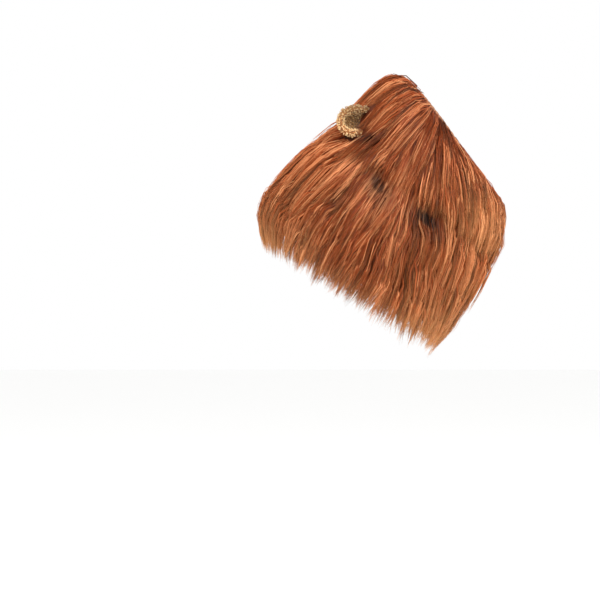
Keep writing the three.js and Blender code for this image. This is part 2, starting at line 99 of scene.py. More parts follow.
@dataclass(frozen=True)
class HoodForm:
    """Sections of the hood's inner face and the depth of the pile over them.

    The rows follow the worn shape of the wig. Nape and throat points are shares of length and height, half is
    a share of width, and the pile's depths are shares of the three greatest depths.
    """

    length: float = 0.321
    height: float = 0.322
    width: float = 0.246
    wall: float = 0.002
    gap: float = 0.0005
    nape_pile: float = 0.028
    flank_pile: float = 0.042
    throat_pile: float = 0.059
    nape_overhang: float = 0.066
    chest_overhang: float = 0.090
    hang_sweep: float = math.radians(14)
    # X and Z on the nape, X and Z on the throat, half across
    sections: tuple = (
        (0.068, -0.022, 0.377, -0.461, 0.285),
        (0.0, 0.0, 0.401, -0.518, 0.315),
        (-0.106, -0.063, 0.415, -0.585, 0.36),
        (-0.246, -0.207, 0.391, -0.691, 0.41),
        (-0.391, -0.341, 0.324, -0.806, 0.45),
        (-0.498, -0.451, 0.256, -0.898, 0.48),
        (-0.584, -0.566, 0.174, -1.0, 0.5),
    )
    # how far down the overhang, half across
    hanging: tuple = ((0.5, 0.51), (1.0, 0.5), (1.4, 0.48))
    # depth on the nape, the flank and the throat; the last three rows are below the rear hem
    depths: tuple = (
        (0.2, 0.12, 0.05),
        (0.92, 0.42, 0.27),
        (0.64, 0.64, 0.46),
        (0.75, 0.76, 0.57),
        (0.86, 0.88, 0.65),
        (0.9, 0.98, 0.74),
        (1.0, 1.0, 0.82),
        (0.86, 0.84, 0.56),
        (0.34, 0.38, 0.22),
        (0.12, 0.12, 0.08),
    )
    # station, angle from the nape in degrees, reach along, reach round in degrees, depth
    partings: tuple = (
        (3.95, 77, 0.26, 7, 0.46),
        (4.05, 108, 0.26, 11, 0.5),
        (4.8, 66, 0.45, 7, 0.22),
    )
    ear_station: float = 2.63
    ear_angle: float = math.radians(22)
    ear_reach: float = 0.030
    ear_press: float = 0.62
    ear_shift: tuple = (-0.004, 0.0, -0.018)
    under_edge: float = 0.16
    under_full: float = 0.4
    under_rise: float = 1.6
    least_pile: float = 0.001
    normal_step: float = 0.02

    @staticmethod
    def curve(rows: Array, station: Array) -> Array:
        """Points of the smooth curve through the rows.

        Args:
            rows: one row for each section.
            station: row numbers, or places between two rows.

        Returns:
            One interpolated row for each station.
        """
        last = len(rows) - 1
        padded = np.vstack([2 * rows[0] - rows[1], rows, 2 * rows[-1] - rows[-2]])
        place = np.clip(station, 0, last)
        index = np.minimum(place.astype(int), last - 1)
        t = (place - index)[..., None]
        p0, p1, p2, p3 = (padded[index + k] for k in range(4))
        bend = (2 * p0 - 5 * p1 + 4 * p2 - p3) * t**2
        twist = (3 * p1 - p0 - 3 * p2 + p3) * t**3
        past = (station - place)[..., None]
        onwards = np.where(past > 0, rows[-1] - rows[-2], rows[1] - rows[0]) * past
        return 0.5 * (2 * p1 + (p2 - p0) * t + bend + twist) + onwards

    def edge_rows(self, column: int, overhang: float) -> Array:
        """Points of the nape line or the throat line in the middle plane.

        Args:
            column: where the line's X stands in a row of sections.
            overhang: how far the line goes on below the rear hem.

        Returns:
            One point for each section, and one for each row of the hanging fur.
        """
        points = [(row[column] * self.length, 0.0, row[column + 1] * self.height) for row in self.sections]
        rear = np.array(points[-1])
        down = np.array([-math.sin(self.hang_sweep), 0.0, -math.cos(self.hang_sweep)])
        hanging = [rear + down * along * overhang for along, _ in self.hanging]
        return np.vstack([points, hanging])

    def inner(self, station: Array, angle: Array) -> Array:
        """Points of the hood's inner face.

        Args:
            station: places along the hood.
            angle: places round it.

        Returns:
            One point for each place.
        """
        nape = self.curve(self.edge_rows(0, self.nape_overhang), station)
        throat = self.curve(self.edge_rows(2, self.chest_overhang), station)
        halves = [row[4] for row in self.sections] + [half for _, half in self.hanging]
        half = self.curve(np.array(halves)[:, None] * self.width, station)
        share = ((1 - np.cos(angle)) / 2)[..., None]
        across = np.zeros_like(nape)
        across[..., 1] = half[..., 0] * np.sin(angle)
        return nape + (throat - nape) * share + across

    def outwards(self, station: Array, angle: Array) -> Array:
        """Unit normals of the hood, pointing out.

        Args:
            station: places along the hood.
            angle: places round it.

        Returns:
            One normal for each place.
        """
        step = self.normal_step
        around = self.inner(station, angle + step) - self.inner(station, angle - step)
        back = self.inner(station + step, angle) - self.inner(station - step, angle)
        normal = np.cross(around, back)
        return normal / np.linalg.norm(normal, axis=-1, keepdims=True)

    def parting(self, station: Array, angle: Array) -> Array:
        """How much of the pile is left beside the dark partings.

        Args:
            station: places along the hood.
            angle: places round it.

        Returns:
            A share from 0 to 1 for each place.
        """
        away = from_nape(angle)
        left = np.ones_like(away)
        for place, where, along, around, depth in self.partings:
            reach = ((station - place) / along) ** 2 + ((away - where) / around) ** 2
            left = left * (1 - depth * np.exp(-reach))
        return left

    def pile(self, station: Array, angle: Array) -> Array:
        """Depth of the fur in metres.

        Args:
            station: places along the hood.
            angle: places round it.

        Returns:
            One depth for each place.
        """
        scale = np.array([self.nape_pile, self.flank_pile, self.throat_pile])
        depths = self.curve(np.array(self.depths) * scale, station)
        lean = np.cos(angle)
        end = np.where(lean > 0, depths[..., 0], depths[..., 2])
        depth = depths[..., 1] + (end - depths[..., 1]) * lean**2
        left = self.parting(station, angle) * self.beside_ears(station, angle)
        return np.maximum(depth, self.least_pile) * left

    def beside_ears(self, station: Array, angle: Array) -> Array:
        """How much of the pile stands round the ears, which press it down.

        Args:
            station: places along the hood.
            angle: places round it.

        Returns:
            A share from 0 to 1 for each place.
        """
        here = self.inner(station, angle)
        left = np.ones_like(station)
        for side in Side:
            root = self.inner(np.array(self.ear_station), np.array(side.value * self.ear_angle))
            reach = np.linalg.norm(here - root - np.array(self.ear_shift), axis=-1) / self.ear_reach
            left = left * (1 - self.ear_press * np.exp(-(reach**3)))
        return left

    def under(self, station: Array) -> Array:
        """The undercoat's depth as a share of the pile, low at the face edge, where the hair comes out."""
        rise = np.clip(station / self.under_rise, 0, 1)
        return self.under_edge + (self.under_full - self.under_edge) * rise * rise * (3 - 2 * rise)

    def fur(self, station: Array, angle: Array, depth: Array) -> Array:
        """Points in the pile: depth 0 lies on the hood's outer face and 1 on the fur's outer face."""
        out = self.wall + self.gap + depth * self.pile(station, angle)
        return self.inner(station, angle) + self.outwards(station, angle) * out[..., None]

    def wall_point(self, station: Array, angle: Array, out: Array) -> Array:
        """Points of the hood moved outwards by a distance."""
        return self.inner(station, angle) + self.outwards(station, angle) * np.asarray(out)[..., None]


FORM = HoodForm()


class Change(Enum):
    """What a patch row changes, with its column in the row: the tone, with painted light and shade, or the
    fade, with painted highlight.
    """

    TONE = 3
    FADE = 4


@dataclass(frozen=True)
class Combing:
    """Which way the hair lies and how light it is, seen from the wearer's side.

    A row of lies holds X and Z of a place and the lean from plumb in degrees, more than 0 towards the back.
    Each patch row holds X and Z of a place, its reach, how much lighter or darker the hair is there and how
    much more faded: partly the fur's own tone and fade, partly painted highlights and painted shade.
    """

    lies: tuple = (
        (0.00, -0.005, 54),
        (-0.05, -0.036, 52),
        (0.03, -0.05, 42),
        (-0.07, -0.105, 30),
        (0.0, -0.121, 27),
        (0.045, -0.115, 15),
        (0.07, -0.09, -18),
        (0.105, -0.135, -24),
        (0.13, -0.185, -10),
        (0.08, -0.19, 0),
        (-0.115, -0.115, 44),
        (-0.172, -0.175, 38),
        (-0.205, -0.23, 36),
        (-0.15, -0.24, 41),
        (-0.065, -0.25, 36),
        (0.02, -0.28, 22),
        (0.07, -0.25, 6),
        (0.14, -0.24, 6),
        (0.11, -0.31, 8),
        (0.05, -0.36, -6),
        (-0.08, -0.33, 34),
    )
    lie_reach: float = 0.034
    # Partly the fur's own tone and fade, partly painted shade, under the ear and between clumps, and painted
    # highlights, on the crown and the cheeks
    light_and_shade_patches: tuple = (
        (0.09, -0.17, 0.030, 0.02, 0.02),
        (-0.07, -0.155, 0.020, 0.16, 0.0),
        (0.14, -0.22, 0.030, 0.12, 0.26),
        (0.05, -0.40, 0.045, 0.10, 0.30),
        (-0.21, -0.22, 0.040, 0.10, 0.25),
        (0.0, -0.01, 0.035, 0.0, 0.03),
        (0.085, -0.28, 0.030, -0.06, 0.0),
        (-0.135, -0.125, 0.034, 0.13, 0.08),
        (0.0, -0.13, 0.030, 0.16, 0.0),
        (-0.10, -0.17, 0.022, -0.24, 0.0),
        (-0.05, -0.11, 0.028, -0.16, 0.0),
        (0.055, -0.075, 0.022, -0.2, 0.0),
        (0.10, -0.12, 0.018, -0.22, 0.0),
        (0.03, -0.26, 0.040, -0.1, 0.0),
        (-0.16, -0.25, 0.025, -0.14, 0.1),
    )
    least_weight: float = 1e-9

    def blend(self, points: Array, rows: Array, reach: Array) -> Array:
        """Weights of the rows at some points, by their distance from the side."""
        offset = points[..., None, (0, 2)] - rows[:, :2]
        return np.exp(-np.sum(offset**2, axis=-1) / (2 * reach**2))

    def lean(self, points: Array) -> Array:
        """The lean from plumb.

        Args:
            points: places on the wig.

        Returns:
            One angle in radians for each place.
        """
        rows = np.array(self.lies)
        weights = self.blend(points, rows, np.full(len(rows), self.lie_reach)) + self.least_weight
        return np.radians(np.sum(weights * rows[:, 2], axis=-1) / np.sum(weights, axis=-1))

    def change(self, points: Array, what: Change) -> Array:
        """How much the patch rows change the tone, with painted light and shade, or the fade, with painted
        highlight, at some points.
        """
        rows = np.array(self.light_and_shade_patches)
        return np.sum(self.blend(points, rows, rows[:, 2]) * rows[:, what.value], axis=-1)


COMBING = Combing()


# Colours, nodes and finishes


def linear(code: str) -> tuple[float, float, float, float]:
    """The linear colour of an sRGB hex value.

    Args:
        code: a hash mark and six hex digits.

    Returns:
        Red, green, blue and full opacity.
    """
    parts = [int(code[i : i + 2], 16) / 255 for i in (1, 3, 5)]
    red, green, blue = ((c / 12.92 if c <= 0.04045 else ((c + 0.055) / 1.055) ** 2.4) for c in parts)
    return (red, green, blue, 1.0)


def result(node: Node) -> Socket:
    """The first output of a node that is in use."""
    return next(s for s in node.outputs if s.enabled)


def feed(tree: Tree, node: Node, links: dict) -> None:
    """Sets a node's inputs.

    Args:
        tree: the node tree.
        node: the node to feed.
        links: input name, identifier or number to a value, or to the output or the node that feeds it.
    """
    for key, value in links.items():
        if isinstance(key, int):
            socket = node.inputs[key]
        else:
            socket = next(s for s in node.inputs if key in (s.identifier, s.name) and s.enabled)
        if isinstance(value, Node):
            value = result(value)
        if isinstance(value, Socket):
            tree.links.new(value, socket)
        else:
            socket.default_value = value


def add_node(
    tree: Tree, kind: str, links: Optional[dict] = None, stops: tuple = (), **settings: object
) -> Node:
    """Adds a node with its settings, its inputs and, on a colour ramp, its stops.

    Args:
        tree: the node tree.
        kind: the node's type.
        links: what its inputs get, as feed takes it.
        stops: positions and hex colours of a ramp.
        settings: properties of the node itself.

    Returns:
        The new node.
    """
    node = tree.nodes.new(kind)
    for name, value in settings.items():
        setattr(node, name, value)
    feed(tree, node, links or {})
    if stops:
        elements = node.color_ramp.elements
        while len(elements) < len(stops):
            elements.new(0.5)
        for element, (position, code) in zip(elements, stops):
            element.position = position
            element.color = linear(code)
    return node


def new_material(name: str) -> tuple[bpy.types.Material, Tree, Node]:
    """An empty material.

    Args:
        name: the finish's name.

    Returns:
        The material, its tree and its Principled shader.
    """
    material = bpy.data.materials.new(name)
    material.use_nodes = True
    tree = material.node_tree
    return material, tree, tree.nodes["Principled BSDF"]


@dataclass(frozen=True)
class ModacrylicFur:
    """Long modacrylic pile, combed: glossy fibres, darker at the root, partly as painted shade under the hair
    above, and faded at the tip.

    The eye gets streaks of light and dark along each lock, partly the fibres' own tone and partly painted
    highlights and painted shade between strands, and a soft gloss across it.
    """

    name: str = "modacrylic_fur"
    # The dark root colour is partly painted shade under the hair that lies over the roots
    root: str = "#5d230f"
    middle: str = "#a8481a"
    tip: str = "#cc763c"
    # Streak ends: the darkest is partly painted shade between strands, the lightest partly painted highlight
    dark: str = "#280b03"
    light: str = "#ffb178"
    # Pale colour of the faded tips, also painted highlight in front and on some patch rows
    fade_and_highlight_colour: str = "#dba066"
    # Colour of the painted shadow in the partings and under the ear
    parting: str = "#100503"
    roughness: float = 0.42
    gloss: float = 0.2
    # Where the root's colour ends and the tip's begins, as shares of a hair
    root_end: float = 0.35
    tip_start: float = 0.8
    # What the lock's tone and the strand's own number add, and where dark, middle and light lie on their sum
    tone_scale: float = 0.72
    tone_shift: float = -0.04
    strand_tails: float = 1.5
    strand_slope: float = 0.17
    strand_middle: float = 0.18
    streaks: tuple = (0.17, 0.52, 0.86)
    streak_share: float = 0.78
    # X and Z of the middle of a painted shadow in a parting or under the ear, its half length and half width,
    # its tilt in degrees and its strength
    partings: tuple = (
        (-0.038, -0.157, 0.024, 0.015, 62, 0.92),
        (0.036, -0.209, 0.030, 0.013, 37, 1.0),
        (-0.060, -0.084, 0.024, 0.010, -12, 0.8),
        (-0.038, -0.164, 0.042, 0.028, 62, 0.5),
        (0.036, -0.216, 0.050, 0.028, 37, 0.5),
    )
    # A painted shadow's soft edge, its reach across the wig and how much weaker it is at the tips
    shade_edge: tuple = (0.35, 1.15)
    shade_reach: float = 10.0
    tip_shade_relief: float = 0.35
    # The strands that cross a painted shadow as lighter wisps, and how dark the painted shade still makes
    # them
    wisps: tuple = (0.82, 0.9)
    wisp_shade: float = 0.4

    def make(self) -> bpy.types.Material:
        """The material, which reads along, tone, strand and the fade with its painted highlight from the
        hair.

        Returns:
            The fur's finish.
        """
        material, tree, shader = new_material(self.name)
        read = {
            key: add_node(tree, "ShaderNodeAttribute", attribute_name=key).outputs["Fac"]
            for key in ("along", "tone", "strand", "fade_and_highlight")
        }
        lengthwise = (
            (0.0, self.root),
            (self.root_end, self.middle),
            (self.tip_start, self.middle),
            (1.0, self.tip),
        )
        base = add_node(tree, RAMP, {"Fac": read["along"]}, lengthwise)
        scaled = {0: read["tone"], 1: self.tone_scale, 2: self.tone_shift}
        tone = add_node(tree, MATH, scaled, operation="MULTIPLY_ADD")
        centred = add_node(tree, MATH, {0: read["strand"], 1: 0.5}, operation="SUBTRACT")
        squared = add_node(tree, MATH, {0: centred, 1: centred}, operation="MULTIPLY")
        bent = {0: squared, 1: self.strand_tails, 2: self.strand_slope}
        tails = add_node(tree, MATH, bent, operation="MULTIPLY_ADD")
        own = add_node(tree, MATH, {0: centred, 1: tails, 2: self.strand_middle}, operation="MULTIPLY_ADD")
        both = add_node(tree, MATH, {0: own, 1: tone}, operation="ADD")
        stops = tuple(zip(self.streaks, (self.dark, self.middle, self.light)))
        streak = add_node(tree, RAMP, {"Fac": both}, stops)
        layers = (
            (self.streak_share, streak),
            # Fade at the tips and lower edge, with painted highlight in front
            (read["fade_and_highlight"], linear(self.fade_and_highlight_colour)),
            # Painted shade: the shadow in the partings and under the ear
            (self.painted_parting_shade(tree, read["along"], read["strand"]), linear(self.parting)),
        )
        colour = base
        for share, over in layers:
            mixed = {"Factor_Float": share, "A_Color": colour, "B_Color": over}
            colour = add_node(tree, MIX, mixed, data_type="RGBA")
        values = {"Base Color": colour, "Roughness": self.roughness, "Specular IOR Level": self.gloss}
        feed(tree, shader, values)
        return material

    def painted_parting_shade(self, tree: Tree, along: Socket, strand: Socket) -> Node:
        """Painted shade: how dark the hair is painted in the partings and under the ear, where light doesn't
        reach its roots but wisps cross in front.

        Args:
            tree: the material's tree.
            along: how far along its hair a point lies.
            strand: the strand's own number.

        Returns:
            The node that gives the darkness, from 0 to 1.
        """
        place = add_node(tree, "ShaderNodeTexCoord").outputs["Object"]
        near, far = self.shade_edge
        total = 0.0
        for x, z, length, width, tilt, strength in self.partings:
            sizes = {
                "Vector": place,
                "Location": (x, 0.0, z),
                "Rotation": (0.0, math.radians(tilt), 0.0),
                "Scale": (length, self.shade_reach, width),
            }
            local = add_node(tree, "ShaderNodeMapping", sizes, vector_type="TEXTURE")
            away = add_node(tree, VECTOR_MATH, {0: local}, operation="LENGTH")
            edge = {"Value": away, "From Min": near, "From Max": far, "To Min": strength, "To Max": 0.0}
            spot = add_node(tree, RANGE, edge, interpolation_type="SMOOTHSTEP")
            total = add_node(tree, MATH, {0: total, 1: spot}, operation="MAXIMUM")
        weaker = add_node(tree, MATH, {0: along, 1: -self.tip_shade_relief, 2: 1.0}, operation="MULTIPLY_ADD")
        total = add_node(tree, MATH, {0: total, 1: weaker}, operation="MULTIPLY")
        first, full = self.wisps
        wisp = {"Value": strand, "From Min": first, "From Max": full, "To Min": 1.0, "To Max": self.wisp_shade}
        return add_node(tree, MATH, {0: total, 1: add_node(tree, RANGE, wisp)}, operation="MULTIPLY")


@dataclass(frozen=True)
class Underfur:
    """The dense short ends of the pile next to the knit, seen only between the locks: matt and dark."""

    name: str = "modacrylic_underfur"
    deep: str = "#3a160a"
    light: str = "#8a4220"
    streak: float = 0.0016
    lengthwise: float = 10.0
    roughness: float = 0.7
    gloss: float = 0.2
    levels: tuple = (0.3, 0.75)
    relief: float = 0.001
    relief_strength: float = 0.8

    def make(self) -> bpy.types.Material:
        """The material, streaked along the combing direction in the piece's own UV map.

        Returns:
            The underfur's finish.
        """
        material, tree, shader = new_material(self.name)
        uv = add_node(tree, "ShaderNodeUVMap", uv_map="combing")
        sizes = {"Vector": uv, "Scale": (self.lengthwise, 1 / self.streak, 1.0)}
        scaled = add_node(tree, "ShaderNodeMapping", sizes)
        streaks = add_node(tree, NOISE, {"Vector": scaled, "Scale": 1.0, "Detail": 3.0, "Roughness": 0.6})
        stops = tuple(zip(self.levels, (self.deep, self.light)))
        colour = add_node(tree, RAMP, {"Fac": streaks}, stops)
        raised = {"Height": streaks, "Strength": self.relief_strength, "Distance": self.relief}
        values = {
            "Base Color": colour,
            "Normal": add_node(tree, "ShaderNodeBump", raised),
            "Roughness": self.roughness,
            "Specular IOR Level": self.gloss,
        }
        feed(tree, shader, values)
        return material


@dataclass(frozen=True)
class WarpKnit:
    """Warp-knitted polyester backing, brushed: matt, with ribs and rows of loops.

    The ribs come out six and a quarter times the rib size apart, about 10 mm, and the rows of loops 6 mm.
    That is coarser than a real knit, so that they show.
    """

    name: str = "warp_knit_backing"
    dark: str = "#5d3420"
    light: str = "#8a5536"
    rib: float = 0.0016
    # Direction of the ribs and of the loops, their unit, distortion, detail and its scale
    bands: tuple = (("Y", 20, 1.2, 2.0, 3.0), ("X", 12, 2.0, 1.0, 4.0))
    patch_scale: float = 28.0
    weave_share: float = 0.5
    levels: tuple = (0.25, 1.0)
    roughness: float = 0.92
    gloss: float = 0.2
    relief: float = 0.0006
    relief_strength: float = 0.6

    def make(self) -> bpy.types.Material:
        """The material, knitted along the piece's own UV map, which is in metres.

        Returns:
            The knit's finish.
        """
        material, tree, shader = new_material(self.name)
        uv = add_node(tree, "ShaderNodeUVMap", uv_map="cloth")
        made = []
        for way, unit, distortion, detail, detail_scale in self.bands:
            sizes = {
                "Vector": uv,
                "Scale": 1 / (self.rib * unit),
                "Distortion": distortion,
                "Detail": detail,
                "Detail Scale": detail_scale,
            }
            made.append(add_node(tree, WAVES, sizes, bands_direction=way).outputs["Fac"])
        ribs, loops = made
        patch = add_node(tree, NOISE, {"Vector": uv, "Scale": self.patch_scale, "Detail": 4.0})
        woven = add_node(tree, MATH, {0: ribs, 1: loops}, operation="MULTIPLY")
        level = add_node(tree, MATH, {0: woven, 1: self.weave_share, 2: patch}, operation="MULTIPLY_ADD")
        stops = tuple(zip(self.levels, (self.dark, self.light)))
        colour = add_node(tree, RAMP, {"Fac": level}, stops)
        raised = {"Height": woven, "Strength": self.relief_strength, "Distance": self.relief}
        values = {
            "Base Color": colour,
            "Normal": add_node(tree, "ShaderNodeBump", raised),
            "Roughness": self.roughness,
            "Specular IOR Level": self.gloss,
        }
        feed(tree, shader, values)
        return material


@dataclass(frozen=True)
class SherpaPlush:
    """Curly acrylic plush: soft matt curls with a sheen, pale at their tops and brown between them.

    Towards its upper end the ear's pile is painted a dull greenish brown, painted shade on the cup's upper
    part.
    """

    name: str = "sherpa_plush"
    deep: str = "#804b26"
    middle: str = "#e69d58"
    light: str = "#ffda9f"
    # Painted shade: the upper part of the cup is mixed towards a dark greenish brown between two heights
    painted_shade_olive: str = "#755324"
    shade_share: float = 0.62
    shade_from: float = -0.068
    shade_to: float = -0.036
    roughness: float = 0.85
    sheen: float = 0.15
    patch_scale: float = 120.0
    strand_share: float = 0.35
    patch_share: float = 0.5
    levels: tuple = (0.15, 0.7, 1.0)

    def make(self) -> bpy.types.Material:
        """The material, which varies from curl to curl and with small patches.

        Returns:
            The plush's finish.
        """
        material, tree, shader = new_material(self.name)
        along, strand = (
            add_node(tree, "ShaderNodeAttribute", attribute_name=key).outputs["Fac"]
            for key in ("along", "strand")
        )
        place = add_node(tree, "ShaderNodeTexCoord").outputs["Object"]
        patch = add_node(tree, NOISE, {"Vector": place, "Scale": self.patch_scale, "Detail": 3.0})
        own = add_node(tree, MATH, {0: strand, 1: self.strand_share, 2: along}, operation="MULTIPLY_ADD")
        level = add_node(tree, MATH, {0: patch, 1: self.patch_share, 2: own}, operation="MULTIPLY_ADD")
        stops = tuple(zip(self.levels, (self.deep, self.middle, self.light)))
        colour = add_node(tree, RAMP, {"Fac": level}, stops)
        # Painted shade, darker towards the top of the ear
        height = add_node(tree, "ShaderNodeSeparateXYZ", {0: place}).outputs["Z"]
        low, high = self.shade_from, self.shade_to
        rise = {"Value": height, "From Min": low, "From Max": high, "To Max": self.shade_share}
        top_shade = {"Factor_Float": add_node(tree, RANGE, rise), "A_Color": colour, "B_Color": linear(self.painted_shade_olive)}
        shaded_colour = add_node(tree, MIX, top_shade, data_type="RGBA")
        feed(tree, shader, {"Base Color": shaded_colour, "Roughness": self.roughness, "Sheen Weight": self.sheen})
        return material


# Meshes


def place_object(name: str, data: bpy.types.ID) -> bpy.types.Object:
    """A new object in the scene.

    Args:
        name: its name.
        data: its mesh, light or camera.

    Returns:
        The object, at the origin.
    """
    thing = bpy.data.objects.new(name, data)
    bpy.context.scene.collection.objects.link(thing)
    return thing


def mesh_object(name: str, vertices: Array, faces: list) -> bpy.types.Object:
    """A new object in the scene from points and faces.

    Args:
        name: its name.
        vertices: the points.
        faces: point numbers of each face.

    Returns:
        The object.
    """
    mesh = bpy.data.meshes.new(name)
    mesh.from_pydata([tuple(v) for v in vertices], [], faces)
    mesh.update()
    return place_object(name, mesh)


def keep_on_points(mesh: bpy.types.Mesh, key: str, data: Array) -> None:
    """Keeps numbers or vectors on a mesh's points.

    Args:
        mesh: the mesh.
        key: the attribute's name.
        data: numbers, or vectors along a third axis.
    """
    kind, name = ("FLOAT_VECTOR", "vector") if data.ndim == 3 else ("FLOAT", "value")
    attribute = mesh.attributes.new(key, kind, "POINT")
    attribute.data.foreach_set(name, data.reshape(-1).astype(np.float32))


def face_out(piece: bpy.types.Object) -> None:
    """Turns a closed mesh so that its faces point out.

    Args:
        piece: the object to turn.
    """
    work = bmesh.new()
    work.from_mesh(piece.data)
    if work.calc_volume(signed=True) < 0:
        bmesh.ops.reverse_faces(work, faces=work.faces)
    work.to_mesh(piece.data)
    work.free()


def loop_shell(name: str, rings: list, uv_name: str, uv_rows: list) -> bpy.types.Object:
    """A hollow wall from a closed loop of rings.

    Args:
        name: the piece's name.
        rings: arrays of points, each one ring round the hood.
        uv_name: the name of the UV map.
        uv_rows: the first UV coordinate of each ring, with a last one for the closing seam.

    Returns:
        The wall, smooth and facing out.
    """
    count, total = len(rings[0]), len(rings)
    faces, coordinates = [], []
    for i in range(total):
        j = (i + 1) % total
        for k in range(count):
            m = (k + 1) % count
            faces.append((i * count + k, i * count + m, j * count + m, j * count + k))
            low, high = k / count, (k + 1) / count
            here, onwards = uv_rows[i], uv_rows[i + 1]
            coordinates.append(((here, low), (here, high), (onwards, high), (onwards, low)))
    piece = mesh_object(name, np.vstack(rings), faces)
    layer = piece.data.uv_layers.new(name=uv_name)
    layer.data.foreach_set("uv", np.array(coordinates, dtype=np.float32).reshape(-1))
    face_out(piece)
    piece.data.shade_smooth()
    return piece


def apply_nodes(piece: bpy.types.Object, tree: Tree, values: dict) -> bpy.types.Object:
    """Runs a Geometry Nodes tree on a piece and keeps the result as a plain mesh.

    Args:
        piece: the object that the tree starts from. It is removed.
        tree: the tree, whose inputs are set by identifier.
        values: input name to value.

    Returns:
        A new object with the result.
    """
    name = piece.name
    modifier = piece.modifiers.new("growth", "NODES")
    modifier.node_group = tree
    for item in tree.interface.items_tree:
        if item.item_type == "SOCKET" and item.in_out == "INPUT" and item.name in values:
            modifier[item.identifier] = values[item.name]
    graph = bpy.context.evaluated_depsgraph_get()
    mesh = bpy.data.meshes.new_from_object(piece.evaluated_get(graph), depsgraph=graph)
    piece.modifiers.clear()
    start = piece.data
    bpy.data.objects.remove(piece)
    bpy.data.meshes.remove(start)
    mesh.name = name
    return place_object(name, mesh)


def seat(piece: bpy.types.Object, nodes: tuple[str, ...]) -> None:
    """Makes a piece ride on the wig, hides the solids that it stands for and logs its triangles.

    Args:
        piece: the finished piece.
        nodes: the solids that it stands for.
    """
    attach(piece, "root")
    if nodes:
        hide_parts(*nodes)
    piece.data.calc_loop_triangles()
    log.info("%s: %d triangles", piece.name, len(piece.data.loop_triangles))


# Geometry Nodes trees


def tree_with(name: str, sockets: tuple) -> tuple[Tree, Node]:
    """A Geometry Nodes tree with named inputs, a Geometry input and a Geometry output.

    Args:
        name: the tree's name.
        sockets: name and kind of each further input.

    Returns:
        The tree and its input node.
    """
    tree = bpy.data.node_groups.new(name, "GeometryNodeTree")
    tree.interface.new_socket("Geometry", in_out="INPUT", socket_type="NodeSocketGeometry")
    tree.interface.new_socket("Geometry", in_out="OUTPUT", socket_type="NodeSocketGeometry")
    for label, kind in sockets:
        tree.interface.new_socket(label, in_out="INPUT", socket_type=f"NodeSocket{kind}")
    return tree, tree.nodes.new("NodeGroupInput")


def multiplied(tree: Tree, first: object, *factors: object) -> Node:
    """The product of numbers in a tree.

    Args:
        tree: the node tree.
        first: a number, a node or an output.
        factors: the same, one or more.

    Returns:
        The last node of the product.
    """
    for factor in factors:
        first = add_node(tree, MATH, {0: first, 1: factor}, operation="MULTIPLY")
    return first


def end_tree(tree: Tree, geometry: Node, finish: Socket) -> None:
    """Smooths what a tree has made, makes it real, gives it its material and puts it out.

    Args:
        tree: the node tree.
        geometry: the node that made it.
        finish: the material input.
    """
    smooth = add_node(tree, "GeometryNodeSetShadeSmooth", {"Geometry": geometry})
    real = add_node(tree, "GeometryNodeRealizeInstances", {"Geometry": smooth})
    dressed = add_node(tree, "GeometryNodeSetMaterial", {"Geometry": real, "Material": finish})
    add_node(tree, "NodeGroupOutput", {0: dressed})


